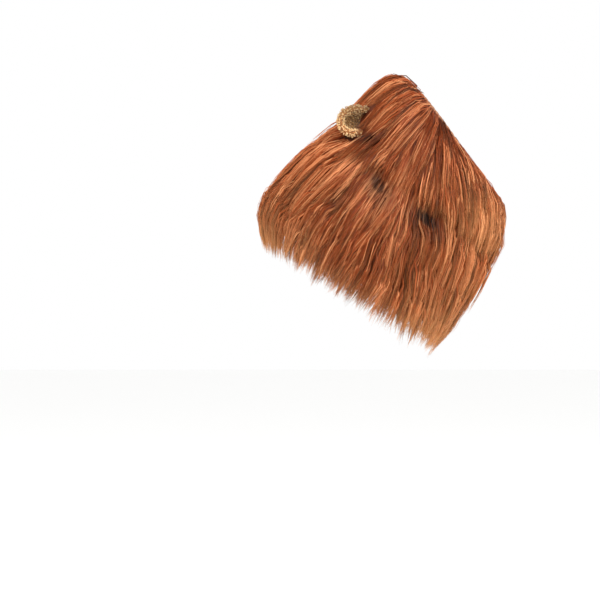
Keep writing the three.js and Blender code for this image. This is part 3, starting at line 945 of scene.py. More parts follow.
@dataclass(frozen=True)
class LockTree:
    """The tree that turns each guide line into a lock of tapering strands.

    A row of draws names a random number of each strand and gives its range. Its seed is the row's place.
    """

    sockets: tuple = (
        ("Strands", "Int"),
        ("Lock Width", "Float"),
        ("Lock Depth", "Float"),
        ("Tip Share", "Float"),
        ("Strand Radius", "Float"),
        ("Length Spread", "Float"),
        ("Frizz", "Float"),
        ("Seed", "Int"),
        ("Fur", "Material"),
    )
    draws: tuple = (
        ("across", -1.0, 1.0),
        ("deep", -1.0, 1.0),
        ("longer", -1.0, 0.35),
        ("wobble", 0.0, 9.0),
        ("tone", 0.0, 1.0),
        ("thick", 0.65, 1.25),
        ("stray", 0.0, 1.0),
    )
    stray_power: float = 7.0
    stray_reach: float = 2.6
    wobble_scale: float = 26.0
    taper_power: float = 1.6
    tip_radius: float = 0.12
    strand_sides: int = 3

    def offset(self, tree: Tree, value: object, read: dict, drawn: dict) -> Node:
        """How far each point of a strand stands off its guide line.

        Args:
            tree: the node tree.
            value: the outputs of its input node.
            read: nodes that read the guide's attributes.
            drawn: nodes that give the strand's random numbers.

        Returns:
            The node that gives the offset.
        """
        along = read["along"]
        narrowing = {"Value": along, "To Min": 1.0, "To Max": value["Tip Share"]}
        narrow = add_node(tree, RANGE, narrowing, interpolation_type="SMOOTHSTEP")
        breadth = multiplied(tree, narrow, read["breadth"])
        stray = add_node(tree, MATH, {0: drawn["stray"], 1: self.stray_power}, operation="POWER")
        strayed = {0: stray, 1: self.stray_reach, 2: drawn["deep"]}
        stray = add_node(tree, MATH, strayed, operation="MULTIPLY_ADD")
        late = multiplied(tree, along, along)
        waving = {
            "Vector": add_node(tree, "GeometryNodeInputPosition"),
            "W": drawn["wobble"],
            "Scale": self.wobble_scale,
            "Detail": 1.0,
        }
        wobble = add_node(tree, NOISE, waving, noise_dimensions="4D").outputs["Color"]
        centred = add_node(tree, VECTOR_MATH, {0: wobble, 1: (0.5, 0.5, 0.5)}, operation="SUBTRACT")
        moves = (
            (read["side"], multiplied(tree, drawn["across"], breadth, value["Lock Width"])),
            (read["out"], multiplied(tree, stray, breadth, value["Lock Depth"])),
            (
                add_node(tree, "GeometryNodeInputTangent"),
                multiplied(tree, drawn["longer"], late, value["Length Spread"]),
            ),
            (centred, multiplied(tree, along, value["Frizz"], 2.0)),
        )
        total = (0.0, 0.0, 0.0)
        for way, reach in moves:
            part = add_node(tree, VECTOR_MATH, {0: way, "Scale": reach}, operation="SCALE")
            total = add_node(tree, VECTOR_MATH, {0: total, 1: part}, operation="ADD")
        return total

    def make(self) -> Tree:
        """Builds the tree.

        Returns:
            A tree that reads side, out, along and breadth from the guide's points.
        """
        tree, start = tree_with("locks_of_hair", self.sockets)
        value = start.outputs
        curves = add_node(tree, "GeometryNodeMeshToCurve", {"Mesh": value["Geometry"]})
        many = {"Geometry": curves, "Amount": value["Strands"]}
        copies = add_node(tree, "GeometryNodeDuplicateElements", many, domain="SPLINE")
        count = {"Geometry": copies, "Name": "number", "Value": add_node(tree, "GeometryNodeInputIndex")}
        numbered = add_node(tree, STORE, count, data_type="INT", domain="CURVE")
        kinds = {
            "number": "INT",
            "along": "FLOAT",
            "breadth": "FLOAT",
            "side": "FLOAT_VECTOR",
            "out": "FLOAT_VECTOR",
        }
        read = {key: add_node(tree, READ, {"Name": key}, data_type=kind) for key, kind in kinds.items()}
        drawn = {}
        for place, (name, low, high) in enumerate(self.draws, 1):
            seed = add_node(tree, MATH, {0: value["Seed"], 1: float(place)}, operation="ADD")
            limits = {"Min_001": low, "Max_001": high, "ID": read["number"], "Seed": seed}
            drawn[name] = add_node(tree, RANDOM, limits, data_type="FLOAT")
        shift = {"Geometry": numbered, "Offset": self.offset(tree, value, read, drawn)}
        moved = add_node(tree, "GeometryNodeSetPosition", shift)
        own = {"Geometry": moved, "Name": "strand", "Value": drawn["tone"]}
        toned = add_node(tree, STORE, own, data_type="FLOAT", domain="POINT")
        bend = add_node(tree, MATH, {0: read["along"], 1: self.taper_power}, operation="POWER")
        taper = add_node(tree, RANGE, {"Value": bend, "To Min": 1.0, "To Max": self.tip_radius})
        sizes = {"Resolution": self.strand_sides, "Radius": 1.0}
        sweep = {
            "Curve": toned,
            "Profile Curve": add_node(tree, "GeometryNodeCurvePrimitiveCircle", sizes, mode="RADIUS"),
            "Scale": multiplied(tree, taper, value["Strand Radius"], drawn["thick"]),
            "Fill Caps": True,
        }
        swept = add_node(tree, "GeometryNodeCurveToMesh", sweep)
        end_tree(tree, swept, value["Fur"])
        return tree


@dataclass(frozen=True)
class CurlTree:
    """The tree that covers a plush piece with small curls of pile."""

    sockets: tuple = (
        ("Density", "Float"),
        ("Spacing", "Float"),
        ("Curl Radius", "Float"),
        ("Curl Height", "Float"),
        ("Yarn Radius", "Float"),
        ("Turns", "Float"),
        ("Seed", "Int"),
        ("Plush", "Material"),
    )
    curl_points: int = 7
    yarn_sides: int = 4
    end_share: float = 0.35
    tilt: float = 0.7
    spin: float = 3.14
    sizes: tuple = (0.75, 1.25)

    def make(self) -> Tree:
        """Builds the tree.

        Returns:
            A tree that reads from the piece's points where curls may stand.
        """
        tree, start = tree_with("plush_curls", self.sockets)
        value = start.outputs
        spread = {
            "Mesh": value["Geometry"],
            "Distance Min": value["Spacing"],
            "Density Max": value["Density"],
            "Density Factor": add_node(tree, READ, {"Name": "free"}, data_type="FLOAT"),
            "Seed": value["Seed"],
        }
        points = add_node(tree, "GeometryNodeDistributePointsOnFaces", spread, distribute_method="POISSON")
        spiral = {
            "Resolution": self.curl_points,
            "Rotations": value["Turns"],
            "Start Radius": value["Curl Radius"],
            "End Radius": multiplied(tree, value["Curl Radius"], self.end_share),
            "Height": value["Curl Height"],
        }
        curl = {
            "Geometry": add_node(tree, "GeometryNodeCurveSpiral", spiral),
            "Name": "along",
            "Value": add_node(tree, "GeometryNodeSplineParameter").outputs["Factor"],
        }
        round_yarn = {"Resolution": self.yarn_sides, "Radius": 1.0}
        sweep = {
            "Curve": add_node(tree, STORE, curl, data_type="FLOAT", domain="POINT"),
            "Profile Curve": add_node(tree, "GeometryNodeCurvePrimitiveCircle", round_yarn, mode="RADIUS"),
            "Scale": value["Yarn Radius"],
            "Fill Caps": True,
        }
        yarn = add_node(tree, "GeometryNodeCurveToMesh", sweep)
        lean, spin = self.tilt, self.spin
        tilts = {"Min": (-lean, -lean, -spin), "Max": (lean, lean, spin), "Seed": value["Seed"]}
        tilted = add_node(tree, RANDOM, tilts, data_type="FLOAT_VECTOR")
        turn = add_node(tree, "FunctionNodeEulerToRotation", {0: tilted})
        turning = {"Rotation": points.outputs["Rotation"], "Rotate By": turn}
        smallest, largest = self.sizes
        scaling = {"Min_001": smallest, "Max_001": largest, "Seed": value["Seed"]}
        planted = {
            "Points": points.outputs["Points"],
            "Instance": yarn,
            "Rotation": add_node(tree, "FunctionNodeRotateRotation", turning, rotation_space="LOCAL"),
            "Scale": add_node(tree, RANDOM, scaling, data_type="FLOAT"),
        }
        own = {
            "Geometry": add_node(tree, "GeometryNodeInstanceOnPoints", planted),
            "Name": "strand",
            "Value": add_node(tree, RANDOM, data_type="FLOAT"),
        }
        marked = add_node(tree, STORE, own, data_type="FLOAT", domain="INSTANCE")
        real = add_node(tree, "GeometryNodeRealizeInstances", {"Geometry": marked})
        joined = add_node(tree, "GeometryNodeJoinGeometry")
        tree.links.new(result(real), joined.inputs[0])
        tree.links.new(value["Geometry"], joined.inputs[0])
        end_tree(tree, joined, value["Plush"])
        return tree


# The wig's sub-assemblies


@dataclass
class KnitHood:
    """The knitted backing, open at the face and at the rear, and the gathered elastic hem of the face."""

    columns: int = 108
    rows: int = 34
    ripple: float = 0.0009
    # Waves round the hood, how they drift along it, their phase and their share
    ripple_waves: tuple = ((9, 1.3, 0.0, 0.5), (17, -2.1, 0.8, 0.3))
    # The share of the ripple that runs round the hood, its pace along it and how far it snakes
    ring_ripple: tuple = (0.4, 5.0, 3)
    # How many stations the ripples take to die out at the face and at the rear hem
    quiet_face: float = 0.6
    quiet_rear: float = 0.5
    hem_fold: float = 0.0016
    hem_from: float = 5.6
    # Station of each ring of the turned hem and how far in it lies, as a share of the fold
    fold: tuple = ((REAR_HEM, 1.0), (5.85, 1.1), (5.7, 1.0), (5.64, 0.4))
    casing_radius: float = 0.0032
    casing_gathers: int = 46
    gather_depth: float = 0.1
    gather_drift: float = 1.1
    gather_drifts: int = 5
    casing_shift: float = 0.0002
    casing_row: float = 0.0020
    casing_columns: int = 276
    casing_sides: int = 10

    def ripples(self, station: Array, angle: Array) -> Array:
        """Soft folds of the knit, which die out at both edges.

        Args:
            station: places along the hood.
            angle: places round it.

        Returns:
            How far out each place moves.
        """
        rear = np.clip((self.hem_from - station) / self.quiet_rear, 0, 1)
        quiet = np.clip(station / self.quiet_face, 0, 1) * rear
        folds = sum(
            np.sin(waves * angle + drift * station + phase) * share
            for waves, drift, phase, share in self.ripple_waves
        )
        share, pace, snake = self.ring_ripple
        rings = share * np.sin(pace * station + snake * np.sin(2 * angle))
        return self.ripple * quiet * (folds + rings)

    def make_wall(self, finish: bpy.types.Material) -> bpy.types.Object:
        """The knitted wall with its turned rear hem.

        Args:
            finish: the knit.

        Returns:
            The wall's piece.
        """
        angle = np.linspace(0, 2 * np.pi, self.columns, endpoint=False)
        outer = np.linspace(0.0, REAR_HEM, self.rows)
        inner = outer[outer < self.hem_from][::-1]
        rings = [(station, FORM.wall) for station in outer]
        rings += [(station, -self.hem_fold * share) for station, share in self.fold]
        rings += [(station, 0.0) for station in inner]
        walls = []
        for station, out in rings:
            places = np.full_like(angle, station)
            walls.append(FORM.wall_point(places, angle, out + self.ripples(places, angle)))
        rows = [station * STATION_LENGTH for station, _ in rings] + [0.0]
        piece = loop_shell("knit_hood", walls, "cloth", rows)
        self.stretch_uv(piece)
        piece.data.materials.append(finish)
        seat(piece, ("hood_backing",))
        return piece

    @staticmethod
    def stretch_uv(piece: bpy.types.Object) -> None:
        """Brings the cloth map's second coordinate, once round the hood, to metres.

        Args:
            piece: the object with the map.
        """
        layer = piece.data.uv_layers["cloth"]
        flat = np.empty(len(layer.data) * 2, dtype=np.float32)
        layer.data.foreach_get("uv", flat)
        flat[1::2] *= GIRTH
        layer.data.foreach_set("uv", flat)

    def make_casing(self, finish: bpy.types.Material) -> bpy.types.Object:
        """The elastic casing: a tube just ahead of the wall, pulled into small gathers.

        Args:
            finish: the casing's knit.

        Returns:
            The casing's piece.
        """
        angle = np.linspace(0, 2 * np.pi, self.casing_columns, endpoint=False)
        zero = np.zeros_like(angle)
        centre = FORM.wall_point(zero, angle, np.full_like(angle, FORM.wall / 2))
        ahead = FORM.inner(zero, angle) - FORM.inner(zero + STATION_STEP, angle)
        ahead /= np.linalg.norm(ahead, axis=-1, keepdims=True)
        out = FORM.outwards(zero, angle)
        drift = self.gather_drift * np.sin(self.gather_drifts * angle)
        wave = np.sin(self.casing_gathers * angle + drift)
        gathered = self.casing_radius * (1 - self.gather_depth + self.gather_depth * wave)
        rings = []
        for i in range(self.casing_sides):
            turn = 2 * math.pi * i / self.casing_sides
            radius = gathered - self.casing_shift * math.cos(turn)
            lead = self.casing_radius + FORM.gap + radius * math.cos(turn)
            rings.append(centre + ahead * lead[:, None] + out * (radius * math.sin(turn))[:, None])
        rows = [i * self.casing_row for i in range(self.casing_sides + 1)]
        piece = loop_shell("face_casing", rings, "cloth", rows)
        self.stretch_uv(piece)
        piece.data.materials.append(finish)
        seat(piece, ("face_hem",))
        return piece


@dataclass(frozen=True)
class CurlSizes:
    """Sizes of one plush's curls in metres, and their turns."""

    spacing: float
    radius: float
    height: float
    yarn: float
    turns: float


@dataclass
class PlushEar:
    """One cupped ear: a padded curly shell and the short brown pile in its hollow."""

    side: Side
    plush: CurlSizes = CurlSizes(0.0029, 0.0015, 0.0026, 0.00062, 1.1)
    pile: CurlSizes = CurlSizes(0.0015, 0.0007, 0.0026, 0.0004, 0.5)
    density: float = 900000.0
    seed: int = 11
    rounding: int = 1
    merge: float = 2e-5
    hood_samples: int = 120
    hood_stations: tuple = (1.5, 4.2)
    knit_room: float = 0.009

    @property
    def name(self) -> str:
        """The ear's name in the model."""
        return f"ear_{self.side.name.lower()}"

    def padded_copy(self, node: str, name: str) -> bpy.types.Object:
        """A merged and rounded copy of one of the ear's solids.

        Args:
            node: the solid's name.
            name: the copy's name.

        Returns:
            The copy, a plain mesh.
        """
        work = bmesh.new()
        work.from_mesh(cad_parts[node].data)
        bmesh.ops.remove_doubles(work, verts=work.verts, dist=self.merge)
        mesh = bpy.data.meshes.new(name)
        work.to_mesh(mesh)
        work.free()
        piece = place_object(name, mesh)
        round_off = piece.modifiers.new("round", "SUBSURF")
        round_off.levels = self.rounding
        round_off.render_levels = self.rounding
        graph = bpy.context.evaluated_depsgraph_get()
        rounded = bpy.data.meshes.new_from_object(piece.evaluated_get(graph), depsgraph=graph)
        bpy.data.objects.remove(piece)
        return place_object(name, rounded)

    def mark_free(self, piece: bpy.types.Object) -> None:
        """Marks with 1 where the ear stands clear of the hood, and with 0 where pile would reach the knit.

        Args:
            piece: the ear's piece.
        """
        around = np.linspace(0, 2 * np.pi, self.hood_samples)
        stations, angles = np.meshgrid(np.linspace(*self.hood_stations, self.hood_samples // 2), around)
        knit = search_tree(FORM.wall_point(stations.ravel(), angles.ravel(), np.array(FORM.wall)))
        free = [1.0 if knit.find(v.co)[2] > self.knit_room else 0.0 for v in piece.data.vertices]
        keep_on_points(piece.data, "free", np.array(free))

    def make(self, tree: Tree, shell: bpy.types.Material, lining: bpy.types.Material) -> None:
        """Makes the shell and the lining, covered with curls.

        Args:
            tree: the tree that plants the curls.
            shell: the shell's plush.
            lining: the lining's pile.
        """
        for solid, look, sizes, finish in (
            ("shell", "plush", self.plush, shell),
            ("lining", "pile", self.pile, lining),
        ):
            node = f"{self.name}_{solid}"
            base = self.padded_copy(node, f"{self.name}_{look}")
            self.mark_free(base)
            values = {
                "Density": self.density,
                "Spacing": sizes.spacing,
                "Curl Radius": sizes.radius,
                "Curl Height": sizes.height,
                "Yarn Radius": sizes.yarn,
                "Turns": sizes.turns,
                "Seed": self.seed + self.side.value,
                "Plush": finish,
            }
            seat(apply_nodes(base, tree, values), (node,))


@dataclass
class Undercoat:
    """The dense pile next to the knit in one tier, a hollow wall with the fur's own dents."""

    tier: Tier
    first: float
    last: float
    columns: int = 92
    rows: int = 22
    ridges: int = 23
    # How far the ridges snake round the hood, and their pace along it
    ridge_snake: float = 2.2
    ridge_pace: float = 2.3
    ridge_depth: float = 0.12
    # How fast the wall rises at its first and at its last edge, and its share of the depth there
    first_rise: float = 0.3
    last_rise: float = 0.4
    edge_share: float = 0.3

    def ring(self, station: float, share: float, angle: Array) -> Array:
        """One ring of the undercoat, ridged as locks are.

        Args:
            station: where it lies along the hood.
            share: 1 on the outer face and 0 on the knit.
            angle: places round the hood.

        Returns:
            The ring's points.
        """
        stations = np.full_like(angle, station)
        snake = self.ridge_snake * math.sin(self.ridge_pace * station)
        ridges = np.abs(np.sin(self.ridges * angle + snake))
        first = (station - self.first) / self.first_rise + self.edge_share
        last = (self.last - station) / self.last_rise + self.edge_share
        height = 1 - self.ridge_depth + self.ridge_depth * ridges
        return FORM.fur(stations, angle, share * FORM.under(stations) * min(1.0, first, last) * height)

    def make(self, finish: bpy.types.Material) -> bpy.types.Object:
        """The undercoat's wall.

        Args:
            finish: the underfur.

        Returns:
            The wall's piece.
        """
        angle = np.linspace(0, 2 * np.pi, self.columns, endpoint=False)
        out = np.linspace(self.first, self.last, self.rows)
        places = [(station, 1.0) for station in out] + [(station, 0.0) for station in out[::-1]]
        rings = [self.ring(station, share, angle) for station, share in places]
        rows = [station * STATION_LENGTH for station, _ in places] + [self.first * STATION_LENGTH]
        piece = loop_shell(f"{self.tier.value}_undercoat", rings, "combing", rows)
        piece.data.materials.append(finish)
        seat(piece, (self.tier.value,))
        return piece


def search_tree(spots: list) -> KDTree:
    """A search tree of points.

    Args:
        spots: the points.

    Returns:
        The tree, ready to use.
    """
    tree = KDTree(len(spots))
    for i, spot in enumerate(spots):
        tree.insert(Vector(spot), i)
    tree.balance()
    return tree


@dataclass
class EarRoom:
    """The room that the hair leaves for the ears.

    Spots are the middles of the ear shells' faces, and the rim is those that lie away from the lining.
    """

    touch: float = 0.0050
    beside: float = 0.0018
    checks: int = 3
    far: float = 0.09
    rim_from: float = 0.0065
    middles: list = field(init=False)
    rim: list = field(init=False)
    solid: KDTree = field(init=False)
    flat: KDTree = field(init=False)

    def __post_init__(self) -> None:
        """Collects points on both ears, in space and as the wearer's side shows them."""
        spots = self.face_middles("shell")
        lined = search_tree(self.face_middles("lining"))
        self.middles = [
            np.mean(np.array([p[:] for p in spots if p.y * side.value > 0]), axis=0) for side in Side
        ]
        self.rim = [p for p in spots if lined.find(p)[2] > self.rim_from]
        self.solid = search_tree(spots)
        self.flat = search_tree([Vector((p.x, 0.0, p.z)) for p in self.rim])

    @staticmethod
    def face_middles(solid: str) -> list[Vector]:
        """The middles of the faces of both ears' shells or linings."""
        nodes = (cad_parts[f"ear_{side.name.lower()}_{solid}"] for side in Side)
        return [face.center.copy() for node in nodes for face in node.data.polygons]

    def clear_share(self, hair: Array) -> float:
        """The share of a hair, from its root, that neither meets an ear nor hides its rim from the side.

        Args:
            hair: the hair's points.

        Returns:
            1 where the whole hair is clear.
        """
        if all(np.linalg.norm(hair - middle, axis=1).min() > self.far for middle in self.middles):
            return 1.0
        steps = len(hair) - 1
        for k in range(1, steps * self.checks + 1):
            place = k / self.checks
            index = min(int(place), steps - 1)
            x, y, z = hair[index] + (hair[index + 1] - hair[index]) * (place - index)
            _, nearest, away = self.flat.find(Vector((x, 0.0, z)))
            hides = away < self.beside and abs(y) > abs(self.rim[nearest].y)
            if hides or self.solid.find(Vector((x, y, z)))[2] < self.touch:
                return (place - 1 / self.checks) / steps
        return 1.0


@dataclass(frozen=True)
class FadeAndHighlight:
    """How far the hair is paled: most at the tips, in front and along the lower edge. The tips and the lower
    edge are faded; the front and some patch rows get painted highlight.

    Each pair says where a change begins and over how much it is complete.
    """

    front_degrees: tuple = (80, 90)
    front_stations: tuple = (1.2, 1.6)
    hem_stations: tuple = (6.2, 2.2)
    everywhere: float = 0.02
    # Painted highlight over the front of the cheeks and the bib
    front: float = 0.05
    # What the tips get everywhere, in front, where it is painted highlight, and along the lower edge
    tips: tuple = (0.08, 0.28, 0.4)
    # A patch's share at the root, and what the tip gets more of it
    patch: tuple = (0.4, 0.6)
    most: float = 0.75

    def shares(self, points: Array, station: Array, angle: Array, along: Array) -> Array:
        """The fade and painted highlight at points of the hair.

        Args:
            points: where they are.
            station: the same, along the hood.
            angle: the same, round the hood.
            along: how far along its hair each lies.

        Returns:
            A share from 0 to 1 for each point.
        """
        away = from_nape(angle)
        changes = ((away, self.front_degrees), (station, self.front_stations), (station, self.hem_stations))
        round_front, back, hem = (np.clip((value - start) / over, 0, 1) for value, (start, over) in changes)
        front = round_front * back
        plain, ahead, below = self.tips
        tips = along**2 * (plain + ahead * front + below * hem)
        root, more = self.patch
        light_and_shade_patches = COMBING.change(points, Change.FADE) * (root + more * along)
        return np.clip(self.everywhere + tips + self.front * front + light_and_shade_patches, 0, self.most)


@dataclass
class HairField:
    """One piece of hair: guide lines that follow the combing, each grown into a lock of strands.

    The piece is the patch of one tier between two angles from the nape line, on one side or across it.
    A level is a share of the pile's depth. A pair of shares is for a lock's own value and for its leader's.
    """

    name: str
    tier: Tier
    roots: tuple[float, float]
    angles: tuple[float, float]
    locks: int
    length: tuple[float, float]
    last: float
    seed: int
    strands: int = 5
    points: int = 5
    lock_width: float = 0.0024
    lock_depth: float = 0.0016
    strand_radius: float = 0.00056
    tip_share: float = 0.5
    length_spread: float = 0.016
    frizz: float = 0.0026
    # Where the locks are sown, with more of them along the patch's first edge
    tries: int = 12
    sown_level: float = 0.7
    edge_share: float = 0.16
    edge_reach: float = 0.35
    edge_power: float = 1.5
    uneven: float = 0.7
    clump_locks: int = 9
    # How they are combed
    combed_level: float = 0.8
    root_share: float = 0.85
    wave: float = 0.08
    wave_length: float = 5.5
    sway: float = 0.07
    own_way: float = 0.35
    heading_share: float = 0.22
    first_station: float = -0.12
    rise_end: float = 0.4
    clump_pull: float = 0.42
    pull_power: float = 1.5
    # How high they lie, and the few that stand off
    low_level: float = 0.3
    level_range: float = 0.72
    level_power: float = 0.7
    level_shares: tuple = (0.5, 0.5)
    flyaway: float = 0.17
    flyaway_power: int = 8
    flyaway_from: float = 0.5
    # Where they end
    length_shares: tuple = (0.45, 0.55)
    clump_ends: tuple = (-0.4, 0.1)
    own_ends: tuple = (-0.3, 0.25)
    feather: float = 0.0
    lowest: float = -0.424
    lowest_spread: float = 0.035
    least_length: float = 0.2
    least_share: float = 0.2
    longest_stride: float = 1.5
    # How light they are and how broad
    tone_spread: float = 1.3
    tone_shares: tuple = (0.8, 0.52)
    tone_shift: float = -0.16
    breadths: tuple = (0.6, 1.3)
    rng: np.random.Generator = field(init=False)

    def __post_init__(self) -> None:
        """Starts the piece's own fixed random numbers."""
        self.rng = np.random.default_rng(self.seed)

    def at_level(self, station: Array, angle: Array, level: float) -> Array:
        """Points of the pile at one level."""
        return FORM.fur(station, angle, np.full(len(station), level))

    @staticmethod
    def led(values: Array, leader: Array, shares: tuple[float, float]) -> Array:
        """Values that partly follow those of each clump's leader."""
        return shares[0] * values + shares[1] * values[leader]

    def sample_roots(self) -> tuple[Array, Array]:
        """Roots spread evenly over the patch's real area, with more of them along its first edge.

        Returns:
            Stations and angles.
        """
        tries = self.locks * self.tries
        low, high = self.roots
        level = self.sown_level
        station = self.rng.uniform(low, high, tries)
        angle = np.radians(self.rng.uniform(*self.angles, tries))
        ahead = self.at_level(station + STATION_STEP, angle, level)
        left = self.at_level(station, angle + ANGLE_STEP, level)
        along = ahead - self.at_level(station - STATION_STEP, angle, level)
        around = left - self.at_level(station, angle - ANGLE_STEP, level)
        area = np.linalg.norm(np.cross(along, around), axis=-1)
        keep = self.rng.uniform(0, area.max(), tries) < area
        station, angle = station[keep], angle[keep]
        edge = int(self.locks * self.edge_share)
        spaced = self.thin_out(self.at_level(station, angle, level), self.locks - edge)
        near = low + self.edge_reach * self.rng.uniform(0, 1, edge) ** self.edge_power
        round_edge = np.radians(self.rng.uniform(*self.angles, edge))
        return np.append(station[spaced], near), np.append(angle[spaced], round_edge)

    def thin_out(self, points: Array, wanted: int) -> Array:
        """Picks well-spaced points until there are enough.

        Args:
            points: the points to pick from.
            wanted: how many.

        Returns:
            The numbers of those picked.
        """
        chosen = [0]
        nearest = np.linalg.norm(points - points[0], axis=-1)
        while len(chosen) < min(wanted, len(points)):
            best = int(np.argmax(nearest * self.rng.uniform(self.uneven, 1.0, len(points))))
            chosen.append(best)
            nearest = np.minimum(nearest, np.linalg.norm(points - points[best], axis=-1))
        return np.array(chosen)

    def clumps(self, station: Array, angle: Array) -> Array:
        """The lock that leads each lock's clump.

        Args:
            station: where the roots are.
            angle: the same, round the hood.

        Returns:
            One lock's number for each lock.
        """
        roots = self.at_level(station, angle, self.sown_level)
        leaders = self.thin_out(roots, max(2, len(roots) // self.clump_locks))
        away = np.linalg.norm(roots[:, None] - roots[leaders][None], axis=-1)
        return leaders[np.argmin(away, axis=1)]

    def stride(self, station: Array, angle: Array, turn: Array, length: Array) -> tuple[Array, Array]:
        """Takes one step along the combing.

        Args:
            station: where the hairs are.
            angle: the same, round the hood.
            turn: how far each turns off sideways.
            length: the step's length.

        Returns:
            The new stations and angles.
        """
        here = self.at_level(station, angle, self.combed_level)
        along = (self.at_level(station + STATION_STEP, angle, self.combed_level) - here) / STATION_STEP
        around = (self.at_level(station, angle + ANGLE_STEP, self.combed_level) - here) / ANGLE_STEP
        heading = along / np.linalg.norm(along, axis=-1, keepdims=True)
        sideways = around / np.linalg.norm(around, axis=-1, keepdims=True)
        lean = COMBING.lean(here)
        wanted = np.stack([-np.sin(lean), np.zeros(len(lean)), -np.cos(lean)], axis=-1)
        out = FORM.outwards(station, angle)
        wanted = wanted - out * np.sum(wanted * out, axis=-1, keepdims=True) + self.heading_share * heading
        wanted = wanted / np.linalg.norm(wanted, axis=-1, keepdims=True) + sideways * turn[:, None]
        wanted /= np.linalg.norm(wanted, axis=-1, keepdims=True)
        step = length[:, None] * wanted
        aa = np.sum(along * along, axis=-1)
        ab = np.sum(along * around, axis=-1)
        bb = np.sum(around * around, axis=-1)
        ya = np.sum(along * step, axis=-1)
        yb = np.sum(around * step, axis=-1)
        det = aa * bb - ab * ab
        onwards = np.maximum(station + (ya * bb - yb * ab) / det, self.first_station)
        return onwards, angle + (yb * aa - ya * ab) / det

    def comb(
        self, station: Array, angle: Array, length: Array, layer: Array, leader: Array
    ) -> tuple[Array, Array, Array]:
        """Lays hairs over the hood the way they are combed, from root to tip.

        Args:
            station: where the roots are.
            angle: the same, round the hood.
            length: the hairs' lengths.
            layer: how high in the pile each lies.
            leader: which hair leads each one's clump.

        Returns:
            Stations, angles and depths of all points, one row for each hair.
        """
        steps = self.points - 1
        count = len(station)
        phase = self.rng.uniform(0, 2 * np.pi, count)[leader] + self.rng.normal(0, self.own_way, count)
        sway = self.rng.normal(0, self.sway, count)[leader]
        sway = sway + self.rng.normal(0, self.own_way * self.sway, count)
        root_depth = np.minimum(self.root_share * FORM.under(station), layer)
        stations, angles, depths = [station], [angle], [root_depth]
        for k in range(1, self.points):
            t = k / steps
            turn = self.wave * np.sin(phase + self.wave_length * t) + sway
            onwards, around = self.stride(stations[-1], angles[-1], turn, length / steps)
            stations.append(onwards)
            angles.append(around)
            rise = min(1.0, t / self.rise_end)
            depths.append(root_depth + (layer - root_depth) * rise * rise * (3 - 2 * rise))
        pull = self.clump_pull * np.linspace(0, 1, self.points) ** self.pull_power
        stations, angles = np.stack(stations, 1), np.stack(angles, 1)
        stations = stations + (stations[leader] - stations) * pull
        angles = angles + (angles[leader] - angles) * pull
        return stations, angles, np.stack(depths, 1)

    def shorten(self, values: Array, limit: Array) -> Array:
        """The share of each hair that stays when its values may not pass a limit.

        Args:
            values: one row of values for each hair.
            limit: one limit for each.

        Returns:
            Shares from 0 to 1.
        """
        over = values > limit[:, None]
        first = np.argmax(over, axis=1)
        rows = np.arange(len(values))
        before = values[rows, np.maximum(first - 1, 0)]
        after = values[rows, first]
        part = (limit - before) / np.where(after > before, after - before, 1.0)
        share = (first - 1 + np.clip(part, 0, 1)) / (self.points - 1)
        return np.where(over.any(axis=1), np.clip(share, 0.0, 1.0), 1.0)

    def lay(self) -> tuple[Array, Array, Array, Array]:
        """Guides of the whole patch, kept short of the tier's last station and of the lowest tips.

        Returns:
            Stations, angles and depths of the hairs, and which hair leads each one's clump.
        """
        station, angle = self.sample_roots()
        count = len(station)
        leader = self.clumps(station, angle)
        layer = self.low_level + self.level_range * self.rng.uniform(0, 1, count) ** self.level_power
        layer = self.led(layer, leader, self.level_shares)
        stray = self.flyaway * self.rng.uniform(0, 1, count) ** self.flyaway_power
        layer += stray * np.clip(station - self.flyaway_from, 0, 1)
        low, high = self.length
        length = self.led(self.rng.uniform(low, high, count), leader, self.length_shares)
        limit = self.last + self.rng.uniform(*self.clump_ends, count)[leader]
        limit = limit + self.rng.uniform(*self.own_ends, count)
        limit += self.feather * self.rng.uniform(0, 1, count)[leader] * np.cos(angle) ** 2
        lowest = self.lowest + self.rng.uniform(0.0, self.lowest_spread, count)
        state = self.rng.bit_generator.state
        for _ in range(2):
            self.rng.bit_generator.state = state
            stations, angles, depths = self.comb(station, angle, length, layer, leader)
            depth_down = -FORM.fur(stations, angles, depths)[..., 2]
            share = np.minimum(self.shorten(stations, limit), self.shorten(depth_down, -lowest))
            length = np.maximum(length * share, self.least_length * low)
        self.rng.bit_generator.state = state
        stations, angles, depths = self.comb(station, angle, length, layer, leader)
        return stations, angles, depths, leader

    @staticmethod
    def cut(values: Array, share: Array) -> Array:
        """The values along each hair when only a share of it is left, spread over as many points.

        Args:
            values: one row of values for each hair.
            share: what is left of each.

        Returns:
            Rows of the same length.
        """
        steps = values.shape[1] - 1
        place = np.linspace(0, 1, steps + 1)[None] * share[:, None] * steps
        index = np.minimum(place.astype(int), steps - 1)
        rows = np.arange(len(values))[:, None]
        return values[rows, index] + (values[rows, index + 1] - values[rows, index]) * (place - index)

